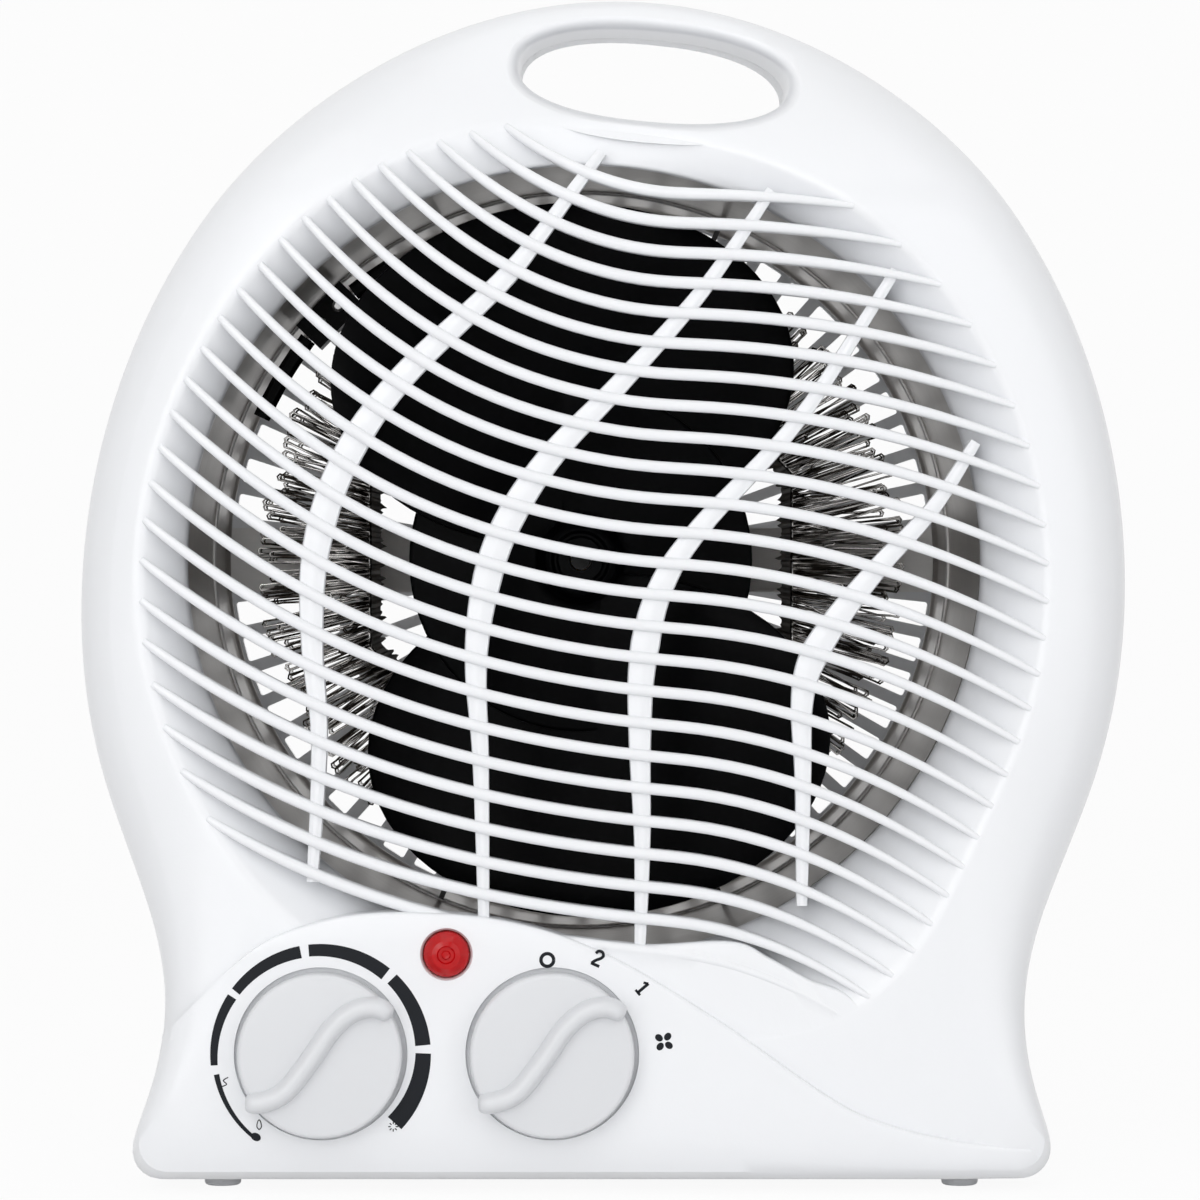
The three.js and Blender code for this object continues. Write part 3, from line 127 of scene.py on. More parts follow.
def softened(corners: Sequence[tuple[float, float, float]], steps: int = 4) -> list[Pair]:
    """Rounds the corners of an open outline.

    Args:
        corners: Points of the outline, each with the length that its rounding takes of both sides.
        steps: The number of edges in each rounding.

    Returns:
        The outline's points.
    """
    points: list[Pair] = []
    for index, (across, along, reach) in enumerate(corners):
        corner = Vector((across, along))
        if reach == 0:
            points.append((across, along))
            continue
        before = (Vector(corners[index - 1][:2]) - corner).normalized() * reach
        after = (Vector(corners[index + 1][:2]) - corner).normalized() * reach
        for step in range(steps + 1):
            share = step / steps
            bend = corner + before * (1 - share) ** 2 + after * share**2
            points.append((bend.x, bend.y))
    return points


def block(size: Vector, centre: Vector, edge: float = 0.0) -> Mesh:
    """A box with bevelled edges.

    Args:
        size: Its length along each axis.
        centre: The middle.
        edge: The bevel's width.

    Returns:
        The box.
    """
    mesh = bmesh.new()
    bmesh.ops.create_cube(mesh, size=1)
    bmesh.ops.scale(mesh, vec=size, verts=mesh.verts)
    if edge > 0:
        bmesh.ops.bevel(
            mesh, geom=mesh.edges, offset=edge, offset_type="OFFSET", affect="EDGES", segments=2, profile=0.5,
            material=-1,
        )
    bmesh.ops.translate(mesh, vec=centre, verts=mesh.verts)
    return mesh


def bar(radius: float, span: Pair, sides: int, centre: Vector) -> Mesh:
    """A round bar from front to back, counted from its centre."""
    return lathe([(0, span[0]), (radius, span[0]), (radius, span[1]), (0, span[1])], sides, centre)


def directions(line: Sequence[Vector]) -> Iterable[tuple[int, Vector, Vector]]:
    """Walks along a line and gives each point's number, place and direction."""
    for index, spot in enumerate(line):
        ahead, behind = line[min(index + 1, len(line) - 1)], line[max(index - 1, 0)]
        yield index, spot, (ahead - behind).normalized()


def middle_of(node: str) -> Vector:
    """The middle of a solid's box."""
    low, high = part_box(node)
    return (low + high) / 2


def stored(mesh: Mesh, name: str) -> bpy.types.Mesh:
    """Turns a mesh into stored mesh data and uses it up."""
    data = bpy.data.meshes.new(name)
    mesh.to_mesh(data)
    mesh.free()
    return data


def linked(name: str, data: bpy.types.ID) -> bpy.types.Object:
    """Puts a new object into the scene."""
    thing = bpy.data.objects.new(name, data)
    bpy.context.scene.collection.objects.link(thing)
    return thing


def merged(parts: Iterable[Mesh]) -> Mesh:
    """Puts meshes side by side in one mesh.

    Args:
        parts: The meshes, which are used up.

    Returns:
        The one mesh.
    """
    whole = bmesh.new()
    for part in parts:
        data = stored(part, "part")
        whole.from_mesh(data)
        bpy.data.meshes.remove(data)
    return whole


def joined(base: Mesh, steps: Sequence[tuple[Join, Mesh]]) -> Mesh:
    """Joins closed meshes to a closed mesh, or cuts them from it, one after the other.

    Args:
        base: The mesh to start from, which is used up.
        steps: What to do with which mesh; these are used up too.

    Returns:
        The resulting mesh.
    """
    holders = []
    for mesh in (base, *(mesh for _, mesh in steps)):
        holders.append(linked("holder", stored(mesh, "holder")))
    for (join, _), tool in zip(steps, holders[1:]):
        modifier = holders[0].modifiers.new("join", "BOOLEAN")
        modifier.operation = join.value
        modifier.solver = "MANIFOLD"
        modifier.object = tool
    shown = holders[0].evaluated_get(bpy.context.evaluated_depsgraph_get())
    result = bmesh.new()
    result.from_mesh(shown.to_mesh())
    shown.to_mesh_clear()
    for holder in holders:
        data = holder.data
        bpy.data.objects.remove(holder)
        bpy.data.meshes.remove(data)
    return result


def add_piece(
    name: str,
    mesh: Mesh,
    material: bpy.types.Material,
    body: str = CASE,
    replaces: Sequence[str] = (),
    smooth: float = SMOOTH_ANGLE,
) -> bpy.types.Object:
    """Makes a mesh a piece of the heater.

    Args:
        name: The piece's name.
        mesh: Its mesh, which is used up.
        material: Its finish.
        body: The body that it moves with.
        replaces: The solids that it stands for.
        smooth: The angle between faces above which their edge stays sharp.

    Returns:
        The new object.
    """
    for face in mesh.faces:
        face.smooth = True
    for edge in mesh.edges:
        edge.smooth = len(edge.link_faces) != 2 or edge.calc_face_angle(0) < smooth
    data = stored(mesh, name)
    data.materials.append(material)
    piece = linked(name, data)
    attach(piece, body)
    if replaces:
        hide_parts(*replaces)
    LOG.info("%s: %d faces on %s", name, len(data.polygons), body)
    return piece


def dress(node: str, material: bpy.types.Material) -> None:
    """Gives a solid that stays in view its finish."""
    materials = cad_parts[node].data.materials
    materials.clear()
    materials.append(material)
    LOG.info("%s: kept, %s", node, material.name)


# Shader maths


class Socket:
    """An output socket of a shader, with arithmetic that adds Math nodes."""

    def __init__(self, shader: "Shader", source: bpy.types.NodeSocket) -> None:
        """Wraps a socket of a shader's tree."""
        self.shader = shader
        self.source = source

    def _math(self, operation: str, first: "Socket | float", second: "Socket | float") -> "Socket":
        """Adds one Math node."""
        return self.shader.node("ShaderNodeMath", {"operation": operation}, {0: first, 1: second})

    def __add__(self, other: "Socket | float") -> "Socket":
        """The sum of two values."""
        return self._math("ADD", self, other)

    __radd__ = __add__

    def __sub__(self, other: "Socket | float") -> "Socket":
        """The difference of two values."""
        return self._math("SUBTRACT", self, other)

    def __rsub__(self, other: "Socket | float") -> "Socket":
        """The difference of two values, the other way round."""
        return self._math("SUBTRACT", other, self)

    def __mul__(self, other: "Socket | float") -> "Socket":
        """The product of two values."""
        return self._math("MULTIPLY", self, other)

    __rmul__ = __mul__

    def __pow__(self, other: "Socket | float") -> "Socket":
        """A value raised to a power."""
        return self._math("POWER", self, other)

    def least(self, other: "Socket | float") -> "Socket":
        """The smaller of two values."""
        return self._math("MINIMUM", self, other)

    def most(self, other: "Socket | float") -> "Socket":
        """The larger of two values."""
        return self._math("MAXIMUM", self, other)


class Shader:
    """An emptied node tree: a new material's, or one that is handed in."""

    def __init__(self, name: str, tree: bpy.types.NodeTree | None = None) -> None:
        """Starts with an empty tree."""
        if tree is None:
            self.material = bpy.data.materials.new(name)
            self.material.use_nodes = True
            tree = self.material.node_tree
        self.tree = tree
        self.tree.nodes.clear()

    def node(
        self,
        kind: str,
        settings: dict[str, object] | None = None,
        inputs: dict[str | int, object] | None = None,
        output: str | int = 0,
    ) -> Socket:
        """Adds a node.

        Args:
            kind: The node's type.
            settings: Its properties; "stops" holds a ramp's places and colours.
            inputs: Values or sockets for its inputs.
            output: Which output to return.

        Returns:
            The chosen output.
        """
        made = self.tree.nodes.new(kind)
        for key, value in (settings or {}).items():
            if key == "stops":
                self._set_stops(made.color_ramp, value)
            else:
                setattr(made, key, value)
        for key, value in (inputs or {}).items():
            if isinstance(value, Socket):
                self.tree.links.new(value.source, made.inputs[key])
            else:
                made.inputs[key].default_value = value
        return Socket(self, made.outputs[output])

    @staticmethod
    def _set_stops(ramp: bpy.types.ColorRamp, stops: Sequence[tuple[float, Sequence[float]]]) -> None:
        """Fills a ramp with places and colours."""
        while len(ramp.elements) < len(stops):
            ramp.elements.new(1)
        for element, (place, colour) in zip(ramp.elements, stops):
            element.position = place
            element.color = colour

    def place(self, stretch: Sequence[float] = (1, 1, 1), shift: Sequence[float] = (0, 0, 0)) -> Socket:
        """The place on the piece, moved and stretched."""
        coordinates = self.node("ShaderNodeTexCoord", output="Object")
        return self.node(
            "ShaderNodeMapping", None, {"Vector": coordinates, "Location": shift, "Scale": stretch}
        )

    def noise(self, scale: float, detail: float = 2, stretch: Sequence[float] = (1, 1, 1)) -> Socket:
        """Cloudy noise from 0 to 1."""
        inputs = {"Vector": self.place(stretch), "Scale": scale, "Detail": detail}
        return self.node("ShaderNodeTexNoise", None, inputs)

    def blend(self, share: "Socket | float", first: object, second: object) -> Socket:
        """Mixes two colours."""
        inputs = {"Factor": share, 6: first, 7: second}
        return self.node("ShaderNodeMix", {"data_type": "RGBA"}, inputs, output=2)

    def bump(self, height: Socket, distance: float) -> Socket:
        """A normal from a height."""
        return self.node("ShaderNodeBump", None, {"Height": height, "Distance": distance, "Strength": 1})

    def surface(self, inputs: dict[str | int, object]) -> bpy.types.Material:
        """Ends the tree in a Principled surface and returns the material."""
        shaded = self.node("ShaderNodeBsdfPrincipled", None, inputs, output="BSDF")
        self.node_output(shaded)
        return self.material

    def node_output(self, surface: Socket) -> None:
        """Links a surface to the material's output."""
        end = self.tree.nodes.new("ShaderNodeOutputMaterial")
        self.tree.links.new(surface.source, end.inputs["Surface"])


def grey(value: float, warmth: float = 0.0) -> Colour:
    """A grey, warmer or colder by a share."""
    return (value * (1 + warmth), value, value * (1 - warmth), 1)


def scaled(colour: Colour, share: float) -> Colour:
    """A colour made darker or lighter by a share."""
    return tuple(c * share for c in colour[:3]) + (1,)


# Finishes


@dataclass(frozen=True)
class MouldedPlastic:
    """Injection-moulded plastic with a fine spark-eroded grain and a faint cloudy mottle in its tone."""

    name: str
    colour: Colour
    roughness: float = 0.3
    grain: float = 0.000012
    grain_size: float = 2600
    mottle: float = 0.02
    coat: float = 0.0
    gloss: float = 0.5
    glow_through: float = 0.0

    def material(self) -> bpy.types.Material:
        """Builds the material.

        Returns:
            The material.
        """
        shader = Shader(self.name)
        cloud = shader.noise(35, 3)
        fine = shader.noise(self.grain_size, 2)
        dark = scaled(self.colour, 1 - self.mottle)
        return shader.surface(
            {
                "Base Color": shader.blend(cloud, dark, self.colour),
                "Roughness": self.roughness * 0.86 + 0.28 * self.roughness * fine,
                "Coat Weight": self.coat,
                "IOR": 1.49,
                "Specular IOR Level": self.gloss,
                "Subsurface Weight": self.glow_through,
                "Subsurface Radius": (1, 1, 1),
                "Subsurface Scale": 0.004,
                "Normal": shader.bump(fine, self.grain),
            }
        )


@dataclass(frozen=True)
class SheetMetal:
    """Rolled or drawn metal with fine streaks along one direction."""

    name: str
    colour: Colour
    roughness: float = 0.2
    streaks: tuple[float, float, float] = (1, 12, 1)
    streak_size: float = 90
    streak_depth: float = 0.00002
    stain: float = 0.12
    metallic: float = 1.0

    def material(self) -> bpy.types.Material:
        """Builds the material.

        Returns:
            The material.
        """
        shader = Shader(self.name)
        streak = shader.noise(self.streak_size, 4, self.streaks)
        cloud = shader.noise(28, 4)
        dark = scaled(self.colour, 1 - self.stain)
        return shader.surface(
            {
                "Base Color": shader.blend(cloud, dark, self.colour),
                "Metallic": self.metallic,
                "Roughness": self.roughness * (0.7 + 0.6 * streak),
                "Normal": shader.bump(streak, self.streak_depth),
            }
        )


@dataclass(frozen=True)
class ResistanceWire:
    """Drawn resistance wire whose strands are painted pale or dark along their length: a painted highlight on
    the pale ones and painted shade on the dark ones, which keep the wire's own brownish tint.
    """

    name: str
    # the strands' two colours: near white for the painted highlight, near black with a brownish tint for the
    # painted shade
    painted_highlight: Colour
    painted_shade_brownish: Colour
    middle: Pair
    turns: float = 24
    lengths: float = 90
    layers: float = 260

    def material(self) -> bpy.types.Material:
        """Builds the material.

        Returns:
            The material.
        """
        shader = Shader(self.name)
        place = shader.place(shift=(-self.middle[0], 0, -self.middle[1]))
        across, depth, up = (
            shader.node("ShaderNodeSeparateXYZ", None, {"Vector": place}, output=axis) for axis in "XYZ"
        )
        turn = shader.node("ShaderNodeMath", {"operation": "ARCTAN2"}, {0: up, 1: across})
        away = (across * across + up * up) ** 0.5
        lines = {"X": turn * self.turns, "Y": away * self.lengths, "Z": depth * self.layers}
        strand = shader.node("ShaderNodeCombineXYZ", None, lines)
        # noise along each strand that decides where it takes the painted highlight and where the painted
        # shade
        strand_highlight_noise = shader.node("ShaderNodeTexNoise", None, {"Vector": strand, "Scale": 1.0, "Detail": 2.0})
        fine = shader.noise(2200, 2)
        # the share of painted highlight on the strands, ramped sharply from the noise
        edge = shader.node(
            "ShaderNodeValToRGB", {"stops": ((0.46, (0, 0, 0, 1)), (0.6, (1, 1, 1, 1)))}, {"Fac": strand_highlight_noise}
        )
        return shader.surface(
            {
                "Base Color": shader.blend(edge, self.painted_shade_brownish, self.painted_highlight),
                "Metallic": 1.0,
                "Roughness": 0.1 + 0.16 * fine,
                "Normal": shader.bump(fine, 0.00002),
            }
        )


@dataclass(frozen=True)
class PressedSheet:
    """Layered mica or resin board with flakes."""

    name: str
    colour: Colour
    flake: Colour
    roughness: float = 0.55

    def material(self) -> bpy.types.Material:
        """Builds the material.

        Returns:
            The material.
        """
        shader = Shader(self.name)
        inputs = {"Vector": shader.place((1, 3, 1)), "Scale": 420.0}
        flakes = shader.node("ShaderNodeTexVoronoi", None, inputs)
        fine = shader.noise(900, 3)
        return shader.surface(
            {
                "Base Color": shader.blend(flakes * fine, self.colour, self.flake),
                "Roughness": self.roughness - 0.2 * flakes,
                "Normal": shader.bump(flakes + fine, 0.00006),
            }
        )


@dataclass(frozen=True)
class StackedMetal:
    """Stacked sheets or wound wire: even bands along one direction."""

    name: str
    colour: Colour
    groove: Colour
    bands: float = 900
    direction: str = "Y"
    roughness: float = 0.4

    def material(self) -> bpy.types.Material:
        """Builds the material.

        Returns:
            The material.
        """
        shader = Shader(self.name)
        inputs = {"Vector": shader.place(), "Scale": self.bands / math.tau, "Distortion": 0.2}
        settings = {"bands_direction": self.direction}
        bands = shader.node("ShaderNodeTexWave", settings, inputs, output="Fac")
        fine = shader.noise(700, 3)
        return shader.surface(
            {
                "Base Color": shader.blend(bands, self.groove, self.colour),
                "Metallic": 0.9,
                "Roughness": self.roughness * (0.8 + 0.4 * fine),
                "Normal": shader.bump(bands, 0.00008),
            }
        )


@dataclass(frozen=True)
class TintedLens:
    """Tinted clear plastic."""

    name: str
    colour: Colour
    roughness: float = 0.08
    transmission: float = 0.45
    gloss: float = 0.5

    def material(self) -> bpy.types.Material:
        """Builds the material.

        Returns:
            The material.
        """
        shader = Shader(self.name)
        cloud = shader.noise(700, 2)
        deep = scaled(self.colour, 0.72)
        return shader.surface(
            {
                "Base Color": shader.blend(cloud, deep, self.colour),
                "Roughness": self.roughness + 0.04 * cloud,
                "Transmission Weight": self.transmission,
                "Specular IOR Level": self.gloss,
                "IOR": 1.49,
            }
        )


@dataclass(frozen=True)
class PrintedInk:
    """Pad-printed ink with a slightly uneven surface."""

    name: str
    colour: Colour

    def material(self) -> bpy.types.Material:
        """Builds the material.

        Returns:
            The material.
        """
        shader = Shader(self.name)
        cloud = shader.noise(500, 3)
        light = scaled(self.colour, 1.8)
        return shader.surface(
            {
                "Base Color": shader.blend(cloud, self.colour, light),
                "Roughness": 0.42 + 0.1 * cloud,
                "Specular IOR Level": 0.25,
                "Normal": shader.bump(cloud, 0.00001),
            }
        )


class Finishes:
    """All the heater's materials, each built once."""

    def __init__(self, axis: Vector) -> None:
        """Builds the materials; the painted highlight and painted shade on the wire's strands run away from
        the axis.

        Args:
            axis: A point on the duct's axis.
        """
        self.white = MouldedPlastic("white_plastic", (0.85, 0.86, 0.88, 1), 0.3, coat=0.15).material()
        self.thin = MouldedPlastic("thin_plastic", (0.85, 0.86, 0.88, 1), 0.3, glow_through=0.8).material()
        self.knob = MouldedPlastic("knob_plastic", (0.70, 0.71, 0.73, 1), 0.34, mottle=0.01).material()
        self.black = MouldedPlastic(
            "black_plastic", (0.0022, 0.0024, 0.003, 1), 0.36, grain=0.00002, mottle=0.2, gloss=0.06
        ).material()
        self.bakelite = MouldedPlastic(
            "bakelite", (0.016, 0.013, 0.011, 1), 0.36, grain=0.00004, grain_size=900, mottle=0.4
        ).material()
        self.rubber = MouldedPlastic(
            "grey_rubber", (0.76, 0.77, 0.79, 1), 0.62, grain=0.00003, grain_size=1400, mottle=0.06
        ).material()
        self.terminal = MouldedPlastic("terminal_plastic", (0.62, 0.62, 0.6, 1), 0.4, mottle=0.05).material()
        self.duct = SheetMetal(
            "duct_sheet", grey(0.66, 0.055), 0.34, streak_depth=0.000008, stain=0.4, metallic=0.35
        ).material()
        self.steel = SheetMetal("zinc_steel", grey(0.6), 0.3, streaks=(3, 3, 3), streak_size=160).material()
        # plated steel: the motor's brackets and strap, and also the near-white rings that paint the highlight
        # on the drum's bead
        self.plated = SheetMetal(
            "plated_steel", grey(0.9, 0.02), 0.5, streaks=(1, 24, 24), streak_depth=0.000003, metallic=0.6
        ).material()
        self.dark_steel = SheetMetal(
            "blued_steel", grey(0.02), 0.4, streaks=(3, 3, 3), streak_size=160
        ).material()
        self.bronze = SheetMetal("bronze", (0.5, 0.33, 0.16, 1), 0.32, streaks=(2, 2, 2)).material()
        # resistance wire: near white for the painted highlight on its strands, near black with a brownish
        # tint for the painted shade
        self.wire = ResistanceWire(
            "resistance_wire", grey(0.95, 0.03), grey(0.035, 0.16), (axis.x, axis.z)
        ).material()
        self.mica = PressedSheet("mica", grey(0.012), (0.09, 0.075, 0.06, 1)).material()
        self.lamination = StackedMetal("lamination", grey(0.34), grey(0.08, 0.05), 4000).material()
        self.copper = StackedMetal(
            "copper_winding", (0.62, 0.24, 0.09, 1), (0.16, 0.05, 0.02, 1), 5200, "X"
        ).material()
        self.lens = TintedLens("red_lens", (0.86, 0.002, 0.006, 1), gloss=0.18).material()
        self.lamp = TintedLens("lamp_glass", (0.9, 0.62, 0.5, 1), 0.05, 0.8).material()
        self.ink = PrintedInk("dial_ink", (0.0012, 0.0024, 0.005, 1)).material()


# Case


@dataclass(frozen=True)
class Side:
    """The front or the rear half of the case: which way it faces and how deep it is."""

    sign: int
    depth: float
    handle_depth: float


@dataclass
class CaseShape:
    """The outline and the skin of the case, the same curves that the solids follow."""

    height: float = 0.245
    widest_half: float = 0.1075
    widest_height: float = 0.120
    waist_half: float = 0.0878
    waist_height: float = 0.036
    base_half: float = 0.0934
    foot_height: float = 0.0022
    base_corner: float = 0.006
    top_lean: float = 0.005
    fall_start: float = 0.198
    boxy_height: float = 0.075
    edge_power: float = 8
    base_edge_power: float = 20
    wall: float = 0.0024
    dome_raise: float = 0.0022
    parting_gap: float = 0.0003
    front: Side = field(default_factory=lambda: Side(-1, 0.056, 0.026))
    rear: Side = field(default_factory=lambda: Side(1, 0.060, 0.016))

    def __post_init__(self) -> None:
        """Works out the outline once, with its directions from the middle of the skin."""
        self.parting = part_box("front_shell")[1].y + self.parting_gap / 2
        self.centre = Vector((0.0, self.widest_height))
        self.outline = self._outline()
        turns = sorted((math.atan2(*(p - self.centre).yx), (p - self.centre).length) for p in self.outline)
        self._turns = [turn for turn, _ in turns]
        self._reaches = [reach for _, reach in turns]

    def _outline(self) -> list[Vector]:
        """The outline from the front, from the top down the right side and back up the left side.

        Returns:
            The outline's points.
        """
        right: list[Vector] = []
        rise = self.height - self.widest_height
        for step in range(56):
            turn = math.pi / 2 * (1 - step / 56)
            right.append(
                Vector((self.widest_half * math.cos(turn), self.widest_height + rise * math.sin(turn)))
            )
        drop = self.widest_height - self.waist_height
        right += self._curve(
            (self.widest_half, self.widest_height), (self.widest_half, self.widest_height - drop * 0.52),
            (self.waist_half, self.waist_height + drop * 0.29), (self.waist_half, self.waist_height), 30,
        )
        corner_top = self.foot_height + self.base_corner
        fall = self.waist_height - corner_top
        right += self._curve(
            (self.waist_half, self.waist_height), (self.waist_half, self.waist_height - fall * 0.53),
            (self.base_half, corner_top + fall * 0.19), (self.base_half, corner_top), 14,
        )
        for step in range(10):
            turn = math.pi / 2 * step / 10
            reach = self.base_corner * (1 - math.cos(turn))
            right.append(Vector((self.base_half - reach, corner_top - self.base_corner * math.sin(turn))))
        for step in range(20):
            right.append(Vector(((self.base_half - self.base_corner) * (1 - step / 20), self.foot_height)))
        left = [Vector((-p.x, p.y)) for p in reversed(right[1:])]
        whole = [*right, Vector((0, self.foot_height)), *left]
        return [Vector((p.x + self.lean(p.y), p.y)) for p in whole]

    @staticmethod
    def _curve(start: Pair, leave: Pair, arrive: Pair, end: Pair, steps: int) -> list[Vector]:
        """Points of a cubic curve, without its last one."""
        a, b, c, d = (Vector(p) for p in (start, leave, arrive, end))
        shares = (step / steps for step in range(steps))
        return [
            a * (1 - t) ** 3 + b * 3 * t * (1 - t) ** 2 + c * 3 * t**2 * (1 - t) + d * t**3 for t in shares
        ]

    def lean(self, height: float) -> float:
        """How far the middle of the case lies to the right at a height."""
        return self.top_lean * (height - self.widest_height) / self.height

    def reach(self, turn: float) -> float:
        """How far the outline lies from the middle of the skin in a direction."""
        after = bisect_right(self._turns, turn)
        before = after - 1
        start, end = self._turns[before], self._turns[after % len(self._turns)]
        span = (end - start) % math.tau
        share = ((turn - start) % math.tau) / span if span else 0.0
        near, far = self._reaches[before], self._reaches[after % len(self._turns)]
        return near + (far - near) * share

    def power(self, height: float) -> float:
        """How squarely the skin turns into the edge at a height of the outline."""
        share = min(max((self.boxy_height - height) / (self.boxy_height - self.foot_height), 0), 1)
        return self.edge_power + (self.base_edge_power - self.edge_power) * (
            0.5 - 0.5 * math.cos(math.pi * share)
        )

    def full_depth(self, side: Side, height: float) -> float:
        """The depth of a side's face at a height."""
        share = min(max((height - self.fall_start) / (self.height - self.fall_start), 0), 1)
        return side.handle_depth + (side.depth - side.handle_depth) * (0.5 + 0.5 * math.cos(math.pi * share))

    def skin(self, side: Side, x: float, z: float, inset: float = 0.0, raised: float = 0.0) -> Vector:
        """The point of a side's skin at a place in the front view.

        Args:
            side: The half of the case.
            x: The place across.
            z: The height.
            inset: How far the skin is moved in.
            raised: How far the face is moved out.

        Returns:
            The point.
        """
        away = Vector((x, z)) - self.centre
        turn = math.atan2(away.y, away.x)
        reach = self.reach(turn)
        power = self.power(self.centre.y + reach * math.sin(turn))
        share = min(away.length / max(reach - inset, WELD), 1)
        depth = (self.full_depth(side, z) - inset + raised) * (1 - share**power) ** (1 / power)
        return Vector((x, self.parting + side.sign * max(depth, self.parting_gap / 2), z))

    def round_edge(
        self, side: Side, rim: Vector, turn: float, inset: float = 0.0, raised: float = 0.0
    ) -> Vector:
        """A point of the rounding between the parting edge and the face.

        Args:
            side: The half of the case.
            rim: The outline's point that the rounding starts from.
            turn: How far round it lies, from 0 at the parting edge.
            inset: How far the skin is moved in.
            raised: How far the face is moved out.

        Returns:
            The point.
        """
        power = self.power(rim.y)
        scale = (math.cos(turn) ** power + math.sin(turn) ** power) ** (-1 / power)
        away = rim - self.centre
        place = self.centre + away * (scale * math.cos(turn) * (1 - inset / away.length))
        depth = (self.full_depth(side, place.y) - inset + raised) * scale * math.sin(turn)
        return Vector((place.x, self.parting + side.sign * max(depth, self.parting_gap / 2), place.y))


@dataclass
class HandleOpening:
    """The hole at the top of the case that fingers go through, with a flared rim on each side."""

    shape: CaseShape
    x: float = 0.010351
    z: float = 0.2279
    half_length: float = 0.0279
    half_height: float = 0.0102
    squareness: float = 2.3
    tilt: float = math.radians(5.5)
    flare: float = 0.0031
    flare_depth: float = 0.0066
    wall: float = 0.002
    points: int = 96

    def ring(self, grow: float) -> list[Vector]:
        """The opening's outline from the front, widened by a length.

        Args:
            grow: The length to widen it by.

        Returns:
            The outline's points.
        """
        places = []
        power = 2 / self.squareness
        for step in range(self.points):
            turn = math.tau * step / self.points
            along, rise = math.cos(turn), math.sin(turn)
            across = (self.half_length + grow) * math.copysign(abs(along) ** power, along)
            up = (self.half_height + grow) * math.copysign(abs(rise) ** power, rise)
            spot = Vector((across, up))
            spot.rotate(Matrix.Rotation(-self.tilt, 2))
            places.append(Vector((self.x + spot.x, self.z + spot.y)))
        return places

    def space(self, side: Side) -> Mesh:
        """The space that the opening cuts from one side of the case.

        Args:
            side: The half of the case.

        Returns:
            The space as a closed mesh.
        """
        rings = [
            [Vector((p.x, self.shape.parting - side.sign * self.flare_depth, p.y)) for p in self.ring(0)]
        ]
        steps = 10
        for step in range(steps + 1):
            turn = math.radians(84) * step / steps
            ring = []
            for place in self.ring(self.flare * (1 - math.cos(turn))):
                rim = self.shape.skin(side, place.x, place.y)
                sunk = self.flare_depth * (1 - math.sin(turn)) - self.flare * 0.06
                ring.append(rim - Vector((0, side.sign * sunk, 0)))
            rings.append(ring)
        rings.append([p + Vector((0, side.sign * self.shape.wall * 2, 0)) for p in rings[-1]])
        return sweep(rings)

    def tunnel(self, side: Side) -> Mesh:
        """The wall round the opening in one side of the case."""
        near = self.shape.parting + side.sign * self.shape.parting_gap / 2
        start = [Vector((p.x, near, p.y)) for p in self.ring(self.flare + self.wall)]
        end = []
        for place in self.ring(self.flare + self.wall):
            rim = self.shape.skin(side, place.x, place.y)
            end.append(rim - Vector((0, side.sign * self.shape.wall / 2, 0)))
        return sweep([start, end])


def smooth_line(points: Sequence[Vector], steps: int) -> list[Vector]:
    """A smooth line through points, with a number of steps between each two.

    Args:
        points: The points that it runs through.
        steps: The steps between two points.

    Returns:
        The line's points.
    """
    line = []
    for index in range(len(points) - 1):
        before = points[max(index - 1, 0)]
        start, end = points[index], points[index + 1]
        after = points[min(index + 2, len(points) - 1)]
        for step in range(steps):
            t = step / steps
            line.append(
                0.5 * (2 * start + (end - before) * t + (2 * before - 5 * start + 4 * end - after) * t**2
                       + (3 * start - before - 3 * end + after) * t**3)
            )
    line.append(points[-1].copy())
    return line


